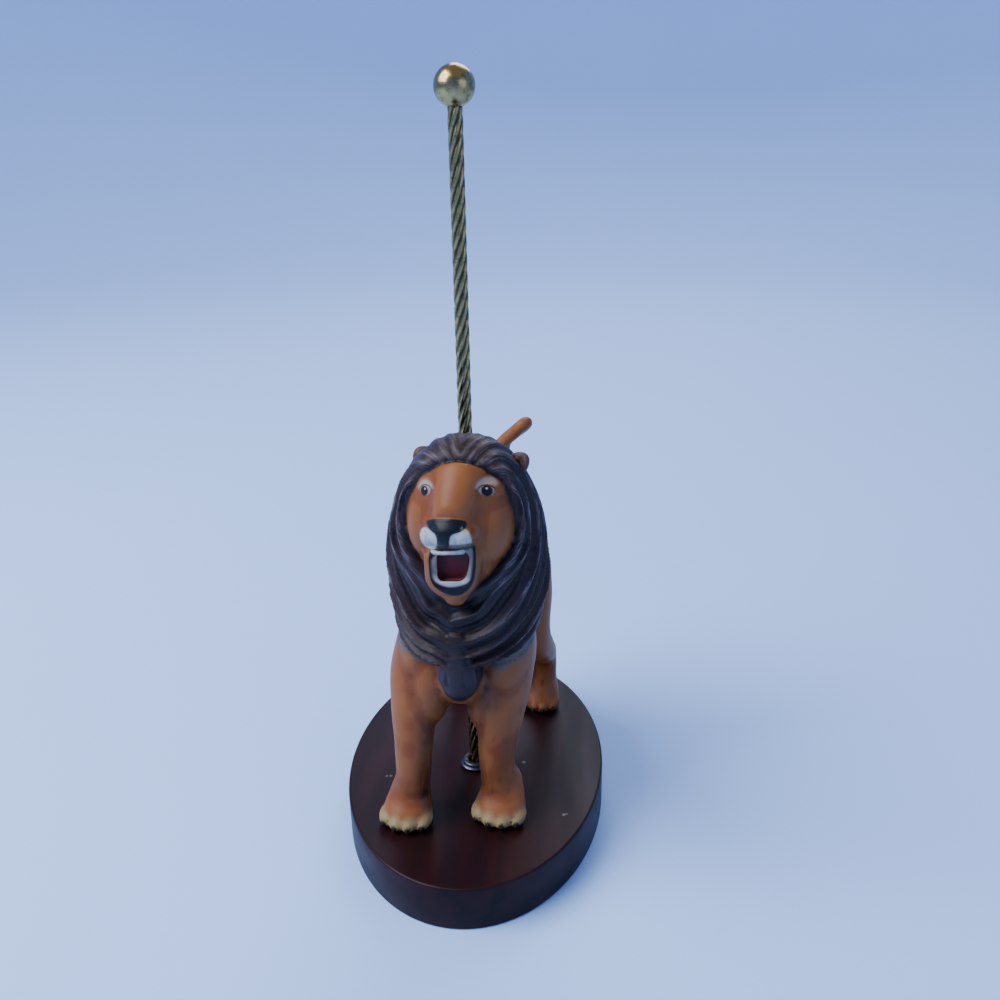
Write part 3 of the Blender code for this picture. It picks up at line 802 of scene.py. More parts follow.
def muzzle_forms(head):
    """Whisker pads, lips and teeth, each laid where its outline falls on the head."""
    parts = [tube([(*seen_at(head, x, z), LIP_RADIUS) for x, z in LIP_PATH], 4)]
    row = ((-3.2, 90.5, -38.8), (-1.0, 90.3, -39.6), (1.6, 90.7, -39.8), (4.3, 91.1, -38.8))
    parts.append(tube([(*sighted([(x, z)], y)[0], 0.5) for x, z, y in row], 4))
    for x, z, width in ((-4.0, 93.9, 2.3), (3.7, 94.6, 2.7)):
        parts.append(ellipsoid(seen_at(head, x, z) + Vector((0, 1.1, 0)), (width, 1.7, 2.4)))
    return parts


def face_places(points):
    """Where each point of the face falls on the plane of the face's outlines."""
    eye = np.array(FACE_SIGHT)
    reach = (FACE_PLANE - eye[1]) / (points[:, 1] - eye[1])
    return (eye + (points - eye) * reach[:, None])[:, [0, 2]]


def outside(places, outline):
    """How far each place lies outside the closed outline: negative inside it."""
    starts = rounded(outline)
    spans = np.roll(starts, -1, axis=0) - starts
    apart = places[:, None] - starts
    along = np.clip(np.sum(apart * spans, axis=2) / np.sum(spans * spans, axis=1), 0, 1)
    away = np.linalg.norm(apart - along[..., None] * spans, axis=2).min(axis=1)
    level = (apart[..., 1] >= 0) != (apart[..., 1] - spans[:, 1] >= 0)
    beside = apart[..., 0] < apart[..., 1] * spans[:, 0] / np.where(spans[:, 1] == 0, 1e-9, spans[:, 1])
    return np.where(np.sum(level & beside, axis=1) % 2, -away, away)


def covered(places, outline, soft=0.14):
    return smoothstep(-outside(places, outline), -soft, soft)


def eye_share(places, oval):
    """0 at the middle of an oval of the eye, 1 on its edge."""
    x, z, half_width, half_height = oval
    return np.hypot((places[:, 0] - x) / half_width, (places[:, 1] - z) / half_height)


def face_relief(places):
    """How far nose, eyes and lids stand out from the face, along the line of sight."""
    relief = 0.4 * covered(places, NOSE, 0.5)
    for x, z in ((-3.0, 96.5), (3.3, 97.0)):
        relief -= 0.5 * np.exp(-((places[:, 0] - x) ** 2 + (places[:, 1] - z) ** 2) / 0.35)
    for eye, _, _ in EYES:
        share = eye_share(places, eye)
        upper = smoothstep(places[:, 1] - eye[1], -0.4, 0.8)
        relief += 0.4 * np.sqrt(np.clip(1 - share**2, 0, 1))
        relief -= 0.3 * np.exp(-((np.maximum(share - 1, 0) / 0.6) ** 2))
        relief += 0.25 * upper * np.exp(-(((share - 1.28) / 0.2) ** 2))
    return relief


def face_coats(points):
    """How far each paint of the face covers each point, as each is laid over the ones before."""
    front = (points[:, 1] < -29) & (points[:, 2] > 70) & (points[:, 2] < 112) & (np.abs(points[:, 0]) < 17)
    places = face_places(points[front])
    coats = {name: np.zeros(len(points)) for name in ("white", "rim", "black", "mouth", "liner")}

    def lay(name, cover):
        for coat in coats.values():
            coat[front] *= 1 - cover
        coats[name][front] += cover

    for pad in PADS:
        lay("white", covered(places, pad, 0.25))
    rim = np.exp(-((outside(places, JAW) / 0.4) ** 2)) * smoothstep(places[:, 1], 77.5, 80.0)
    lay("rim", 0.4 * rim * smoothstep(-places[:, 1], -90, -87))
    lay("black", covered(places, LIPS))
    lay("white", covered(places, GUMS, 0.4) * (0.35 + 0.5 * smoothstep(-places[:, 1], -85.2, -83.8)))
    lay("mouth", covered(places, MOUTH))
    lay("white", covered(places, UPPER_TEETH))
    lay("rim", 0.8 * covered(places, LIP_LINE))
    lay("black", covered(places, NOSE))
    for brow, (eye, pupil, glint) in zip(BROWS, EYES):
        lay("white", 0.45 * covered(places, brow, 0.55))
        upper = smoothstep(places[:, 1] - eye[1], 0.0, 0.9)
        lay("liner", 0.7 * upper * smoothstep(-eye_share(places, eye), -1.35, -1.1))
        lay("white", 0.4 * smoothstep(-eye_share(places, eye), -1.05, -0.92))
        lay("liner", smoothstep(-eye_share(places, pupil), -1.1, -0.9))
        # A painted glint: white standing for the reflection of light in the pupil
        lay("white", smoothstep(-eye_share(places, glint), -1.4, -0.7))
    return coats


def lean_at(points, sizes):
    """Sideways shift of the forequarters, which lean the more the higher they are."""
    return sizes.lean * points[:, 2] * smoothstep(-points[:, 1], -25.0, 15.0)


def pole_bore(sizes):
    """The pole's way through the lion, leant back so that it stands upright once the lion leans."""
    bore = cylinder((POLE_RADIUS + sizes.fit_gap) / sizes.unit, *BORE_REACH)
    points = mesh_points(bore)
    points[:, 0] -= lean_at(points, sizes)
    place_points(bore, points)
    return bore


# What the painter needs to know about each point of the lion


def search_tree(meshes):
    bm = bmesh.new()
    for mesh in meshes:
        bm.from_mesh(mesh)
    tree = BVHTree.FromBMesh(bm)
    corners = np.array([vert.co for vert in bm.verts])
    bm.free()
    return tree, corners.min(axis=0), corners.max(axis=0)


def distances(points, meshes, reach):
    """Distance from each point to the nearest of the meshes, no further than reach."""
    tree, low, high = search_tree(meshes)
    near = np.all((points > low - reach) & (points < high + reach), axis=1)
    found = np.full(len(points), reach)
    for index in np.flatnonzero(near):
        hit = tree.find_nearest(points[index], reach)
        if hit[0] is not None:
            found[index] = hit[3]
    return found


def hair_directions(points, mane_mesh, rings, sizes, reach):
    """For points near the mane: their distance from it, running lock number, turn and share."""
    tree = search_tree([mane_mesh])[0]
    found = np.full(len(points), reach)
    face = np.zeros(len(points), int)
    spot = points.copy()
    for index, point in enumerate(points):
        location, _, number, distance = tree.find_nearest(point, reach)
        if location is not None:
            found[index] = distance
            face[index] = number
            spot[index] = location
    row, column = np.divmod(np.minimum(face, MANE_AROUND * (MANE_BACK - 1) - 1), MANE_AROUND)
    corner = rings[row, column]
    along_turn = rings[row, (column + 1) % MANE_AROUND] - corner
    along_share = rings[row + 1, column] - corner
    offset = spot - corner
    part_turn = np.sum(offset * along_turn, axis=1) / (np.sum(along_turn**2, axis=1) + 1e-12)
    part_share = np.sum(offset * along_share, axis=1) / (np.sum(along_share**2, axis=1) + 1e-12)
    turn = -1 + (2 * (column + np.clip(part_turn, 0, 1)) + 1) / MANE_AROUND
    share = (row + np.clip(part_share, 0, 1)) / (MANE_BACK - 1)
    return found, lock_number(turn, share, sizes.locks), turn, share


def mesh_edges(mesh):
    edges = np.empty(len(mesh.edges) * 2, np.int32)
    mesh.edges.foreach_get("vertices", edges)
    return edges.reshape(-1, 2)


def spread(values, edges, rounds):
    """The values of the points, each averaged with its neighbours for a number of rounds."""
    count = len(values)
    ends = np.concatenate([edges[:, 0], edges[:, 1]])
    others = np.concatenate([edges[:, 1], edges[:, 0]])
    neighbours = np.maximum(np.bincount(ends, minlength=count), 1)
    for _ in range(rounds):
        values = 0.5 * values + 0.5 * np.bincount(ends, weights=values[others], minlength=count) / neighbours
    return values


def recess(points, normals, edges, rounds):
    """How far each point lies under the average of its surroundings: positive in a recess."""
    smooth = np.stack([spread(points[:, axis], edges, rounds) for axis in range(3)], axis=1)
    return np.sum((smooth - points) * normals, axis=1)


def store(mesh, name, values):
    """Keeps a number or a vector for each point of the mesh, for its material to read."""
    values = np.asarray(values, np.float32)
    kind, field = ("FLOAT", "value") if values.ndim == 1 else ("FLOAT_VECTOR", "vector")
    mesh.attributes.new(name, kind, "POINT").data.foreach_set(field, values.ravel())


def sculpt_lion(sizes):
    """The lion's skin in its own units, with what its paint needs stored on its points."""
    flesh = remeshed(body_parts(), BODY_VOXEL, BODY_SMOOTHING)
    face = muzzle_forms(search_tree([flesh])[0])
    flesh = cut(flesh, pocket(MOUTH, MOUTH_FRONT, MOUTH_BACK))
    mane_mesh, rings = mane(sizes)
    sources = {
        "tuft": chest_tuft(),
        "tail_tuft": tail_tuft(),
        "ears": [ear(side) for side in (-1, 1)],
        "front_toes": [toe for paw in PAWS[:FRONT_PAWS] for toe in toes(paw)],
        "hind_toes": [toe for paw in PAWS[FRONT_PAWS:] for toe in toes(paw)],
        "claws": [claw for paw in PAWS for claw in claws(paw)],
    }
    details = [mesh for meshes in sources.values() for mesh in meshes]
    skin = remeshed([flesh, mane_mesh, tail_rope(), *face, *details], FINE_VOXEL, FINE_SMOOTHING)
    thing = link_mesh("skin", skin)
    thin = thing.modifiers.new("thin", "DECIMATE")
    thin.ratio = min(1.0, LION_FACES / (2 * len(skin.polygons)))
    skin = cut(evaluated_mesh(thing), pole_bore(sizes))
    store_recesses(skin)
    for low, high in REFINED_BOXES:
        skin = refined(skin, low, high)
    points = mesh_points(skin)
    front = np.all((points > REFINED_BOXES[0][0]) & (points < REFINED_BOXES[0][1]), axis=1)
    forward = np.array(FACE_SIGHT) - points[front]
    forward /= np.linalg.norm(forward, axis=1, keepdims=True)
    points[front] += forward * face_relief(face_places(points[front]))[:, None]
    place_points(skin, points)
    paint_guides(skin, mane_mesh, rings, sources, sizes)
    return skin


def store_recesses(skin):
    """Stores how deep each point lies among its close and its wider surroundings."""
    points = mesh_points(skin)
    normals = np.array([vert.normal for vert in skin.vertices])
    edges = mesh_edges(skin)
    store(skin, "fine_recess", recess(points, normals, edges, 4))
    store(skin, "wide_recess", recess(points, normals, edges, 60))


def stored(mesh, name):
    values = np.empty(len(mesh.vertices), np.float32)
    mesh.attributes[name].data.foreach_get("value", values)
    return values


def paint_guides(skin, mane_mesh, rings, sources, sizes):
    """Stores which paint each point carries, and how strongly."""
    points = mesh_points(skin)
    normals = np.array([vert.normal for vert in skin.vertices])
    x, y, z = points.T
    fine, wide = stored(skin, "fine_recess"), stored(skin, "wide_recess")

    def near(name, full=0.12, gone=0.42):
        return 1 - smoothstep(distances(points, sources[name], gone), full, gone)

    from_mane, number, turn, share = hair_directions(points, mane_mesh, rings, sizes, 8.0)
    t = np.abs(turn)
    on_mane = 1 - smoothstep(from_mane, 0.15, 0.5)
    on_tufts = np.maximum(near("tuft"), near("tail_tuft"))
    ears = near("ears") * (1 - on_mane)
    hair = np.maximum(np.maximum(on_mane, on_tufts), 0.8 * ears)
    edges = mesh_edges(skin)
    fringe = spread(on_mane, edges, 20) + 0.05 * np.sin(130 * turn)
    fringe += 0.07 * np.sin(2 * math.pi * HAIRS_PER_LOCK * number)
    brow = smoothstep(z, 88, 104) * smoothstep(-y, 20, 26)
    hair = np.maximum(hair, brow * smoothstep(fringe, 0.12, 0.42))
    coats = face_coats(points)
    for coat in coats.values():
        coat *= 1 - on_mane
    upright = on_tufts * (1 - on_mane) + ears > 0.5
    strand = np.stack([np.where(upright, 0.22 * x, number), np.where(upright, z / 95.0, t), share], axis=1)
    store(skin, "hair", hair)
    store(skin, "strand", strand)
    # Painted highlight, with dry-brushing: grey-brown on the mane's raised locks and strands
    crown = 1 - smoothstep(t, 0.12, 0.35)
    ridge = 0.75 * smoothstep(-wide, 0.05, 0.6) * (1 - crown)
    ridge += (0.25 + 0.4 * crown) * smoothstep(-fine, -0.008, 0.045)
    store(skin, "ridge", ridge * (1 - 0.8 * smoothstep(t, 0.66, 0.92)))
    # Painted shade: near-black in the mane's recesses and under the chin at the throat
    groove = np.maximum(smoothstep(fine, 0.01, 0.07), 0.75 * smoothstep(wide, 0.2, 1.0))
    throat = smoothstep(t, 0.8, 0.96) * (1 - smoothstep(share, 0.35, 0.6))
    store(skin, "groove", np.maximum(groove, 0.6 * throat))

    low = smoothstep(-z, -74, -66) * smoothstep(-y, -6, 6)
    beside = spread(hair, edges, 70)
    wander = 0.02 * np.sin(40 * turn) + 0.015 * np.sin(97 * turn)
    low *= smoothstep(np.abs(x - 1.0), 6.5, 9.5)
    store(skin, "feather", smoothstep(beside + wander, 0.1, 0.3) * (1 - hair) * low)
    line = np.exp(-(((beside - 0.3 - wander) / 0.04) ** 2))
    store(skin, "feather_lines", 0.7 * line * (1 - hair) * low)

    # Painted shade: brown darkening in close and wide recesses and on the legs' inner sides, less on the
    # face, and a little darker above the ankles
    face = (1 - on_mane) * smoothstep(-y, 26, 30) * smoothstep(z, 70, 75)
    inward = np.clip(-normals[:, 0] * np.sign(x), 0, 1) * smoothstep(-z, -52, -40)
    ankles = smoothstep(z, 8, 12) * smoothstep(-z, -23, -14)
    shade_wash = (1 - 0.8 * face) * 0.5 * smoothstep(fine, 0.006, 0.05)
    shade_wash += (1 - face) * 0.4 * smoothstep(wide, 0.1, 0.8)
    shade_wash += 0.5 * smoothstep(inward, 0.1, 0.8) + 0.14 * ankles
    store(skin, "shade_wash", np.clip(shade_wash, 0, 1))
    # Painted highlight, with dry-brushing: paler tan on raised fine edges
    store(skin, "drybrush_highlight", smoothstep(-fine, 0.005, 0.03))

    cream = near("front_toes", 0.2, 0.9) * smoothstep(z, 1.0, 1.8)
    # Dark lines between the toes: dark paint and painted shade in the recesses
    grooves = smoothstep(fine, 0.014, 0.05) * smoothstep(-z, -4.6, -3.4)
    coats["cream"] = cream * (1 - grooves) * (0.35 + 0.65 * smoothstep(-z, -5.2, -3.0))
    # Painted contact shade: the paws' lowest millimetre, where they meet the base, darkened
    soles = smoothstep(-z, -1.3, -0.5)
    dark = np.maximum(near("claws", 0.1, 0.3), np.maximum(near("hind_toes", 0.3, 1.0), cream) * grooves)
    coats["claw"] = np.maximum(dark, soles)
    for name, coat in coats.items():
        store(skin, name, np.clip(coat, 0, 1))
    store(skin, "figure", points)


# Materials


def add(tree, kind, inputs=None, output=0, **settings):
    """Adds a node with its settings, values and links, and gives one of its outputs."""
    node = tree.nodes.new(kind)
    for name, value in settings.items():
        setattr(node, name, value)
    for name, value in (inputs or {}).items():
        if isinstance(value, bpy.types.NodeSocket):
            tree.links.new(value, node.inputs[name])
        else:
            node.inputs[name].default_value = value
    return None if output is None else node.outputs[output]


def new_material(name):
    material = bpy.data.materials.new(name)
    material.use_nodes = True
    material.node_tree.nodes.clear()
    return material, material.node_tree


def laid_over(tree, surface, coats):
    """Lays thin coats on a surface: each a colour, a mask, its values for none and full, and a strength."""
    for colour, mask, none, full, strength in coats:
        if none != 0 or full != 1 or strength != 1:
            inputs = {"Value": mask, "From Min": none, "From Max": full, "To Max": strength}
            mask = add(tree, "ShaderNodeMapRange", inputs, interpolation_type="SMOOTHSTEP")
        surface = add(tree, "ShaderNodeMix", {0: mask, 6: surface, 7: (*colour, 1)}, 2, data_type="RGBA")
    return surface


def painted_resin(colours):
    """Cast resin, hand-painted in thin acrylic coats and sealed with satin varnish.

    The eye sees tan with painted brown shade in its recesses and on the legs' inner sides, paler dry-brushed
    edges that are painted highlights, a charcoal mane with dry-brushed ridges that are painted highlights and
    painted near-black shade in its grooves, glossy black nose, lips and pupils, and a soft sheen over all of
    it.
    """
    material, tree = new_material("hand_painted_cast_resin")
    names = ("hair", "ridge", "groove", "feather", "feather_lines", "shade_wash", "drybrush_highlight")
    names += ("cream", "claw", "rim", "black", "white", "mouth", "liner")
    mask = {name: add(tree, "ShaderNodeAttribute", None, "Fac", attribute_name=name) for name in names}
    figure = add(tree, "ShaderNodeAttribute", None, "Vector", attribute_name="figure")
    strand = add(tree, "ShaderNodeAttribute", None, "Vector", attribute_name="strand")

    # Soft clouds in the tan about 14 mm wide, and brush marks 1 mm wide and 4 mm long
    inputs = {"Vector": figure, "Scale": 1 / 14, "Detail": 2.0, "Roughness": 0.5}
    clouds = add(tree, "ShaderNodeTexNoise", inputs)
    brushed = add(tree, "ShaderNodeVectorMath", {0: figure, 1: (1.0, 1.0, 0.25)}, operation="MULTIPLY")
    inputs = {"Vector": brushed, "Scale": 1.0, "Detail": 3.0, "Roughness": 0.6}
    brush = add(tree, "ShaderNodeTexNoise", inputs)
    # Hairs drawn 0.4 mm wide and 3 mm long along the locks, as coarse as they need to show
    combed = add(tree, "ShaderNodeVectorMath", {0: strand, 1: (16.0, 12.0, 1.0)}, operation="MULTIPLY")
    inputs = {"Vector": combed, "Scale": 1.0, "Detail": 3.0, "Roughness": 0.65}
    streaks = add(tree, "ShaderNodeTexNoise", inputs)
    patchy = {}
    for name, texture, thin, thick, least in (
        ("shade_wash", brush, 0.3, 0.55, 0.55),
        ("ridge", streaks, 0.42, 0.66, 0.1),
        ("feather", streaks, 0.2, 0.45, 0.55),
        ("cream", brush, 0.15, 0.4, 0.55),
        ("white", brush, 0.3, 0.55, 0.7),
    ):
        inputs = {"Value": texture, "From Min": thin, "From Max": thick, "To Min": least, "To Max": 1.0}
        cover = add(tree, "ShaderNodeMapRange", inputs, interpolation_type="SMOOTHSTEP")
        patchy[name] = add(tree, "ShaderNodeMath", {0: cover, 1: mask[name]}, operation="MULTIPLY")

    # Tan with random paler clouds, a painted highlight on raised edges and painted brown shade
    tan = laid_over(
        tree,
        (*colours.coat, 1),
        (
            (colours.coat_pale, clouds, 0.4, 0.7, 0.5),
            (colours.coat_pale, mask["drybrush_highlight"], 0, 1, 0.4),
            (colours.coat_shade_wash, patchy["shade_wash"], 0, 1, 0.85),
        ),
    )
    # Mane with painted highlights on its ridges and painted near-black shade in its grooves
    fur = laid_over(
        tree,
        (*colours.mane, 1),
        ((colours.mane_ridge_highlight, patchy["ridge"], 0, 1, 0.9), (colours.mane_groove_shade, mask["groove"], 0, 1, 0.9)),
    )
    surface = add(tree, "ShaderNodeMix", {0: mask["hair"], 6: tan, 7: fur}, 2, data_type="RGBA")
    surface = laid_over(
        tree,
        surface,
        (
            (colours.feather, patchy["feather"], 0, 1, 0.8),
            (colours.mane, mask["feather_lines"], 0, 1, 0.75),
            (colours.cream, patchy["cream"], 0, 1, 1),
            (colours.claw, mask["claw"], 0, 1, 1),
            (colours.feather, mask["rim"], 0, 1, 1),
            (colours.claw, mask["liner"], 0, 1, 1),
            (colours.black, mask["black"], 0, 1, 1),
            (colours.white, patchy["white"], 0, 1, 1),
            (colours.mouth, mask["mouth"], 0, 1, 1),
        ),
    )

    # Varnish: satin, glossier on the black, with fine brush marks and hairs
    inputs = {"Value": clouds, "From Min": 0.3, "From Max": 0.7, "To Min": 0.42, "To Max": 0.52}
    satin = add(tree, "ShaderNodeMapRange", inputs)
    roughness = add(tree, "ShaderNodeMix", {0: mask["black"], 2: satin, 3: 0.42}, 0, data_type="FLOAT")
    hairs = add(tree, "ShaderNodeMath", {0: streaks, 1: mask["hair"]}, operation="MULTIPLY")
    bump = add(tree, "ShaderNodeBump", {"Strength": 0.35, "Distance": 0.00012, "Height": hairs})
    inputs = {"Strength": 0.1, "Distance": 0.00005, "Height": brush, "Normal": bump}
    bump = add(tree, "ShaderNodeBump", inputs)
    inputs = {"Base Color": surface, "Roughness": roughness, "Normal": bump}
    inputs |= {"IOR": 1.49, "Specular IOR Level": 0.2}
    add(tree, "ShaderNodeOutputMaterial", {"Surface": add(tree, "ShaderNodeBsdfPrincipled", inputs)}, None)
    return material


def stained_wood(colours):
    """Hardwood, routed, stained mahogany and lacquered.

    The eye sees a nearly black red-brown with fine pores along the base's length, a satin shine, and on top
    a few light scuffs.
    """
    material, tree = new_material("mahogany_stained_lacquered_wood")
    place = add(tree, "ShaderNodeTexCoord", None, "Object")
    # Pores 0.25 mm wide and 5 mm long, drawn along Y; bands of growth about 6 mm wide
    inputs = {0: place, 1: (4000.0, 200.0, 4000.0)}
    stretched = add(tree, "ShaderNodeVectorMath", inputs, operation="MULTIPLY")
    inputs = {"Vector": stretched, "Scale": 1.0, "Detail": 2.0, "Roughness": 0.6}
    pores = add(tree, "ShaderNodeTexNoise", inputs)
    banded = add(tree, "ShaderNodeVectorMath", {0: place, 1: (160.0, 22.0, 160.0)}, operation="MULTIPLY")
    bands = add(tree, "ShaderNodeTexNoise", {"Vector": banded, "Scale": 1.0, "Detail": 3.0, "Roughness": 0.5})
    coats = [(colours.wood_dark, bands, 0.35, 0.7, 0.6), (colours.wood_dark, pores, 0.55, 0.72, 0.55)]
    for spot, reach, strength in SCUFFS:
        away = add(tree, "ShaderNodeVectorMath", {0: place, 1: spot}, "Value", operation="DISTANCE")
        coats.append((colours.white, away, reach, 0.3 * reach, strength))
    stain = laid_over(tree, (*colours.wood, 1), coats)
    inputs = {"Value": bands, "From Min": 0.3, "From Max": 0.7, "To Min": 0.4, "To Max": 0.5}
    roughness = add(tree, "ShaderNodeMapRange", inputs)
    bump = add(tree, "ShaderNodeBump", {"Strength": 0.12, "Distance": 0.00004, "Height": pores})
    inputs = {"Base Color": stain, "Roughness": roughness, "Normal": bump}
    inputs |= {"IOR": 1.5, "Specular IOR Level": 0.15}
    add(tree, "ShaderNodeOutputMaterial", {"Surface": add(tree, "ShaderNodeBsdfPrincipled", inputs)}, None)
    return material


def antiqued_brass(colours, name):
    """Brass, blackened and then buffed: olive metal, dark in the hollows, bright where it is touched."""
    material, tree = new_material(name)
    place = add(tree, "ShaderNodeTexCoord", None, "Object")
    # Patina in blotches about 1.5 mm wide with specks of 0.3 mm
    inputs = {"Vector": place, "Scale": 650.0, "Detail": 4.0, "Roughness": 0.6}
    blotches = add(tree, "ShaderNodeTexNoise", inputs)
    specks = add(tree, "ShaderNodeTexNoise", {"Vector": place, "Scale": 3300.0, "Detail": 2.0})
    hollow = add(tree, "ShaderNodeAttribute", None, "Fac", attribute_name="hollow")
    coats = (
        (colours.patina, blotches, 0.42, 0.7, 0.5),
        (colours.patina, specks, 0.6, 0.72, 0.5),
        (colours.patina, hollow, 0, 1, 0.8),
    )
    metal = laid_over(tree, (*colours.brass, 1), coats)
    inputs = {"Value": blotches, "From Min": 0.3, "From Max": 0.7, "To Min": 0.15, "To Max": 0.34}
    roughness = add(tree, "ShaderNodeMapRange", inputs)
    bump = add(tree, "ShaderNodeBump", {"Strength": 0.12, "Distance": 0.00004, "Height": specks})
    inputs = {"Base Color": metal, "Metallic": 1.0, "Roughness": roughness, "Normal": bump}
    add(tree, "ShaderNodeOutputMaterial", {"Surface": add(tree, "ShaderNodeBsdfPrincipled", inputs)}, None)
    return material


def dulled_steel(colours):
    """Turned steel that has dulled: soft grey with darker spots about 0.7 mm wide."""
    material, tree = new_material("turned_dulled_steel")
    place = add(tree, "ShaderNodeTexCoord", None, "Object")
    inputs = {"Vector": place, "Scale": 1500.0, "Detail": 3.0, "Roughness": 0.6}
    spots = add(tree, "ShaderNodeTexNoise", inputs)
    metal = laid_over(tree, (*colours.steel, 1), [(colours.patina, spots, 0.5, 0.75, 0.6)])
    inputs = {"Value": spots, "From Min": 0.3, "From Max": 0.7, "To Min": 0.32, "To Max": 0.5}
    roughness = add(tree, "ShaderNodeMapRange", inputs)
    bump = add(tree, "ShaderNodeBump", {"Strength": 0.1, "Distance": 0.00003, "Height": spots})
    inputs = {"Base Color": metal, "Metallic": 1.0, "Roughness": roughness, "Normal": bump}
    add(tree, "ShaderNodeOutputMaterial", {"Surface": add(tree, "ShaderNodeBsdfPrincipled", inputs)}, None)
    return material


def studio_paper(colours):
    """A pale studio ground of matt paper, with a faint cloudiness about 150 mm wide."""
    material, tree = new_material("pale_studio_paper")
    place = add(tree, "ShaderNodeTexCoord", None, "Object")
    clouds = add(tree, "ShaderNodeTexNoise", {"Vector": place, "Scale": 6.0})
    shade = [0.96 * value for value in colours.floor]
    paper = laid_over(tree, (*colours.floor, 1), [(shade, clouds, 0, 1, 1)])
    inputs = {"Base Color": paper, "Roughness": 0.8}
    add(tree, "ShaderNodeOutputMaterial", {"Surface": add(tree, "ShaderNodeBsdfPrincipled", inputs)}, None)
    return material


# Pieces


def add_piece(name, mesh, material, node):
    """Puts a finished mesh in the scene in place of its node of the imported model."""
    mesh.materials.clear()
    mesh.materials.append(material)
    mesh.shade_smooth()
    piece = link_mesh(name, mesh)
    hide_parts(node)
    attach(piece, "root")
    return piece


class CAROUSEL_LION_OT_base(Operator):
    """Build the oval wooden base"""

    bl_idname = "carousel_lion.base"
    bl_label = "Wooden base"

    def execute(self, context):
        sizes, colours = context.scene.carousel_lion_sizes, context.scene.carousel_lion_colours
        half_width = (BASE_HIGH.x - BASE_LOW.x) / 2
        half_length = (BASE_HIGH.y - BASE_LOW.y) / 2
        top = BASE_HIGH.z
        arc = np.linspace(0, math.pi / 2, 5)
        curve = BASE_EDGE * np.stack([1 - np.sin(arc), 1 - np.cos(arc)], axis=1)
        profile = np.concatenate([curve, np.stack([curve[:, 0], top - curve[:, 1]], axis=1)[::-1]])
        around = np.linspace(0, 2 * math.pi, 256, endpoint=False)
        inset, height = profile.T[..., None]
        x, y = (half_width - inset) * np.cos(around), (half_length - inset) * np.sin(around)
        mesh = lofted(np.stack([x, y, height + 0 * around], axis=-1))
        socket = cylinder(POLE_RADIUS + sizes.fit_gap, POLE_LOW.z - sizes.fit_gap, 2 * top)
        socket.transform(Matrix.Translation((POLE_X, POLE_Y, 0)))
        mesh = cut(mesh, socket)
        piece = add_piece("base_of_wood", mesh, stained_wood(colours), "wooden_base")
        for face in piece.data.polygons:
            face.use_smooth = len(face.vertices) == 4
        return {"FINISHED"}


class CAROUSEL_LION_OT_lion(Operator):
    """Sculpt and paint the lion"""

    bl_idname = "carousel_lion.lion"
    bl_label = "Lion"

    def execute(self, context):
        sizes, colours = context.scene.carousel_lion_sizes, context.scene.carousel_lion_colours
        mesh = sculpt_lion(sizes)
        points = mesh_points(mesh)
        points[:, 0] += lean_at(points, sizes)
        place_points(mesh, points * sizes.unit)
        lowest = points[:, 2].min() * sizes.unit
        turn = Matrix.Rotation(sizes.heading, 4, "Z")
        mesh.transform(Matrix.Translation((POLE_X, POLE_Y, LION_LOW.z - lowest)) @ turn)
        add_piece("painted_lion", mesh, painted_resin(colours), "lion")
        return {"FINISHED"}


class CAROUSEL_LION_OT_pole(Operator):
    """Build the twisted brass pole"""

    bl_idname = "carousel_lion.pole"
    bl_label = "Twisted pole"

    def execute(self, context):
        sizes, colours = context.scene.carousel_lion_sizes, context.scene.carousel_lion_colours
        heights = np.linspace(POLE_LOW.z, POLE_HIGH.z, 330)
        around = np.linspace(0, 2 * math.pi, 8 * sizes.pole_flutes, endpoint=False)
        groove = (0.5 + 0.5 * np.cos(sizes.pole_flutes * around)) ** 1.6
        angle = around + (2 * math.pi * (heights - POLE_LOW.z) / sizes.pole_lead)[:, None]
        reach = POLE_RADIUS - sizes.flute_depth * groove
        rings = [reach * np.cos(angle), reach * np.sin(angle), heights[:, None] + 0 * angle]
        mesh = lofted(np.stack(rings, axis=-1))
        store(mesh, "hollow", np.tile(groove, len(heights)))
        mesh.transform(Matrix.Translation((POLE_X, POLE_Y, 0)))
        brass = antiqued_brass(colours, "antiqued_drawn_brass")
        add_piece("pole_of_brass", mesh, brass, "twisted_pole")
        return {"FINISHED"}


class CAROUSEL_LION_OT_ball(Operator):
    """Build the ball on the pole's top"""

    bl_idname = "carousel_lion.ball"
    bl_label = "Ball finial"

    def execute(self, context):
        sizes, colours = context.scene.carousel_lion_sizes, context.scene.carousel_lion_colours
        radius = (BALL_HIGH.x - BALL_LOW.x) / 2
        middle = BALL_HIGH.z - radius
        bore = POLE_RADIUS + sizes.fit_gap
        depth = POLE_HIGH.z + sizes.fit_gap
        start = math.asin(bore / radius)
        profile = [(0.0, depth), (bore, depth)]
        steps = 48
        for step in range(steps + 1):
            angle = start + (math.pi - start) * step / steps
            profile.append((radius * math.sin(angle), middle - radius * math.cos(angle)))
        profile[-1] = (0.0, BALL_HIGH.z)
        mesh = revolved(profile, 96)
        mesh.transform(Matrix.Translation((POLE_X, POLE_Y, 0)))
        brass = antiqued_brass(colours, "antiqued_turned_brass")
        add_piece("ball_of_brass", mesh, brass, "ball_finial")
        return {"FINISHED"}


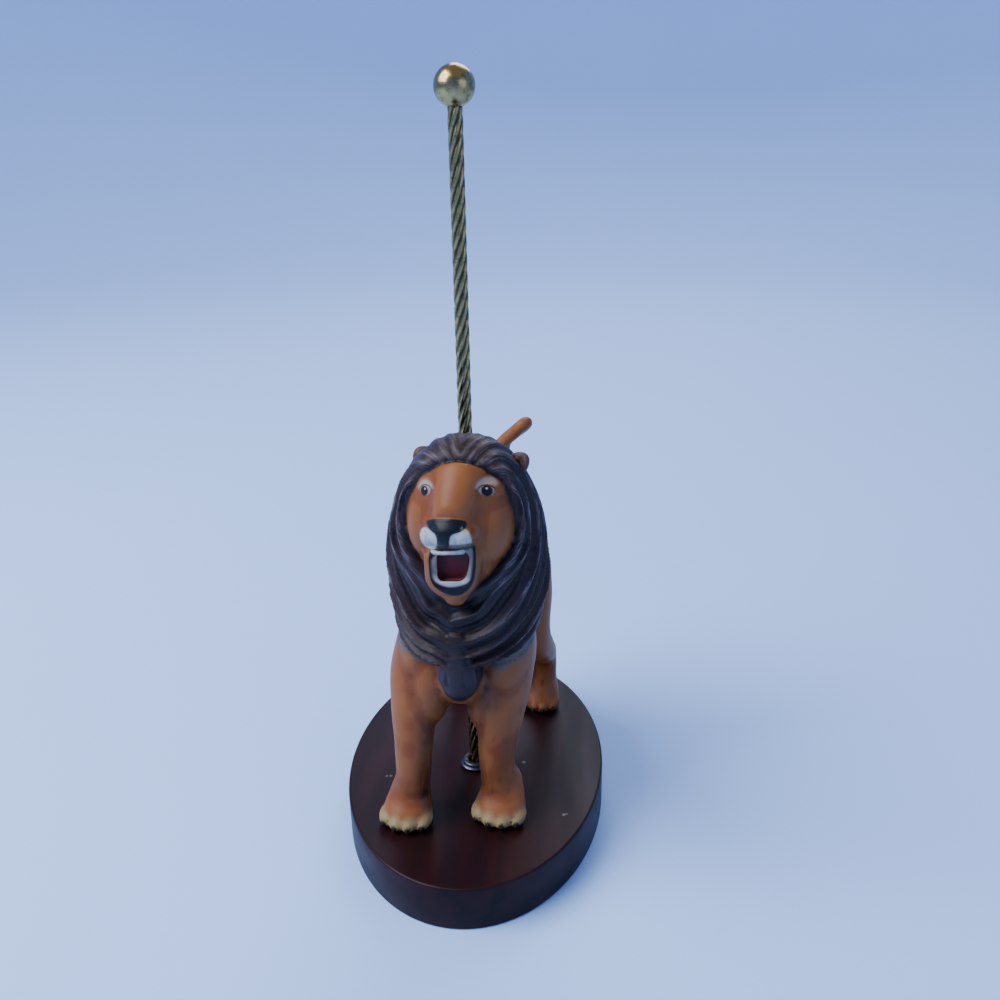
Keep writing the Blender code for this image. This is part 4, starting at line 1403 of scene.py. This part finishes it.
class CAROUSEL_LION_OT_collar(Operator):
    """Build the turned collar at the pole's foot"""

    bl_idname = "carousel_lion.collar"
    bl_label = "Foot collar"

    def execute(self, context):
        sizes, colours = context.scene.carousel_lion_sizes, context.scene.carousel_lion_colours
        outer = (COLLAR_HIGH.x - COLLAR_LOW.x) / 2
        inner = POLE_RADIUS + sizes.fit_gap
        low, high = COLLAR_LOW.z, COLLAR_HIGH.z
        step, edge = COLLAR_STEP, COLLAR_EDGE
        profile = [
            (inner, low),
            (outer - edge, low),
            (outer, low + edge),
            (outer, low + step - edge),
            (outer - edge, low + step),
            (outer - step, low + step + edge),
        ]
        for turn in range(7):
            angle = math.pi / 2 * turn / 6
            profile.append((outer - 2 * step + step * math.cos(angle), high - step + step * math.sin(angle)))
        profile.append((inner, high))
        mesh = revolved(profile, 72)
        mesh.transform(Matrix.Translation((POLE_X, POLE_Y, 0)))
        add_piece("collar_of_steel", mesh, dulled_steel(colours), "foot_collar")
        return {"FINISHED"}


class CAROUSEL_LION_OT_stage(Operator):
    """Set up the pale floor, the soft lights and the camera"""

    bl_idname = "carousel_lion.stage"
    bl_label = "Stage"

    def execute(self, context):
        scene = context.scene
        # The floor sweeps up behind the figurine on every side, in a quarter round
        arc = np.linspace(0, math.pi / 2, 13)
        reach = np.concatenate([FLOOR_REACH + SWEEP * np.sin(arc), [FLOOR_REACH + SWEEP]])
        height = np.concatenate([SWEEP - SWEEP * np.cos(arc), [WALL_HEIGHT]])
        around = np.linspace(0, 2 * math.pi, 96, endpoint=False)
        reach, height = reach[:, None], height[:, None]
        rings = [reach * np.cos(around), reach * np.sin(around), height + 0 * around]
        floor = link_mesh("studio_floor", lofted(np.stack(rings, axis=-1), closed=False))
        floor.data.shade_smooth()
        floor.data.materials.append(studio_paper(scene.carousel_lion_colours))

        world = bpy.data.worlds.new("studio_air")
        scene.world = world
        world.use_nodes = True
        background = world.node_tree.nodes["Background"]
        background.inputs["Color"].default_value = (*linear(AIR_COLOUR), 1.0)
        background.inputs["Strength"].default_value = AIR_STRENGTH
        target = Vector(LIT_PLACE)
        for name, place, size, watts, tint in LAMPS:
            lamp = bpy.data.lights.new(name, "AREA")
            lamp.shape = "SQUARE"
            lamp.size = size
            lamp.energy = watts
            lamp.color = linear(tint)
            holder = bpy.data.objects.new(name, lamp)
            scene.collection.objects.link(holder)
            holder.location = place
            holder.rotation_euler = (target - Vector(place)).to_track_quat("-Z", "Y").to_euler()

        camera = bpy.data.cameras.new("camera")
        camera.sensor_width = SENSOR_WIDTH
        camera.sensor_fit = "HORIZONTAL"
        camera.lens = SENSOR_WIDTH * CAMERA_FOCAL
        camera.clip_start = 0.01
        eye = bpy.data.objects.new("camera", camera)
        scene.collection.objects.link(eye)
        turn = Matrix.Rotation(math.radians(CAMERA_YAW), 4, "Z")
        pitch = Matrix.Rotation(math.radians(90 - CAMERA_PITCH), 4, "X")
        roll = Matrix.Rotation(math.radians(-CAMERA_ROLL), 4, "Z")
        eye.matrix_world = Matrix.Translation(CAMERA_PLACE) @ turn @ pitch @ roll
        scene.camera = eye
        return {"FINISHED"}


PIECES = (
    CAROUSEL_LION_OT_base,
    CAROUSEL_LION_OT_lion,
    CAROUSEL_LION_OT_pole,
    CAROUSEL_LION_OT_ball,
    CAROUSEL_LION_OT_collar,
    CAROUSEL_LION_OT_stage,
)


class CAROUSEL_LION_PT_panel(Panel):
    """Buttons that build the figurine, and its sizes and colours"""

    bl_label = "Carousel lion"
    bl_idname = "CAROUSEL_LION_PT_panel"
    bl_space_type = "VIEW_3D"
    bl_region_type = "UI"
    bl_category = "Carousel lion"

    def draw(self, context):
        for piece in PIECES:
            self.layout.operator(piece.bl_idname)
        for group in (context.scene.carousel_lion_sizes, context.scene.carousel_lion_colours):
            box = self.layout.box()
            for name in group.__annotations__:
                box.prop(group, name)


CLASSES = (CarouselLionSizes, CarouselLionColours, *PIECES, CAROUSEL_LION_PT_panel)


def register():
    for item in CLASSES:
        bpy.utils.register_class(item)
    bpy.types.Scene.carousel_lion_sizes = PointerProperty(type=CarouselLionSizes)
    bpy.types.Scene.carousel_lion_colours = PointerProperty(type=CarouselLionColours)


def unregister():
    del bpy.types.Scene.carousel_lion_colours
    del bpy.types.Scene.carousel_lion_sizes
    for item in reversed(CLASSES):
        bpy.utils.unregister_class(item)


def main():
    register()
    bpy.ops.carousel_lion.stage()
    bpy.ops.carousel_lion.base()
    bpy.ops.carousel_lion.pole()
    bpy.ops.carousel_lion.ball()
    bpy.ops.carousel_lion.collar()
    bpy.ops.carousel_lion.lion()


if __name__ == "__main__":
    main()
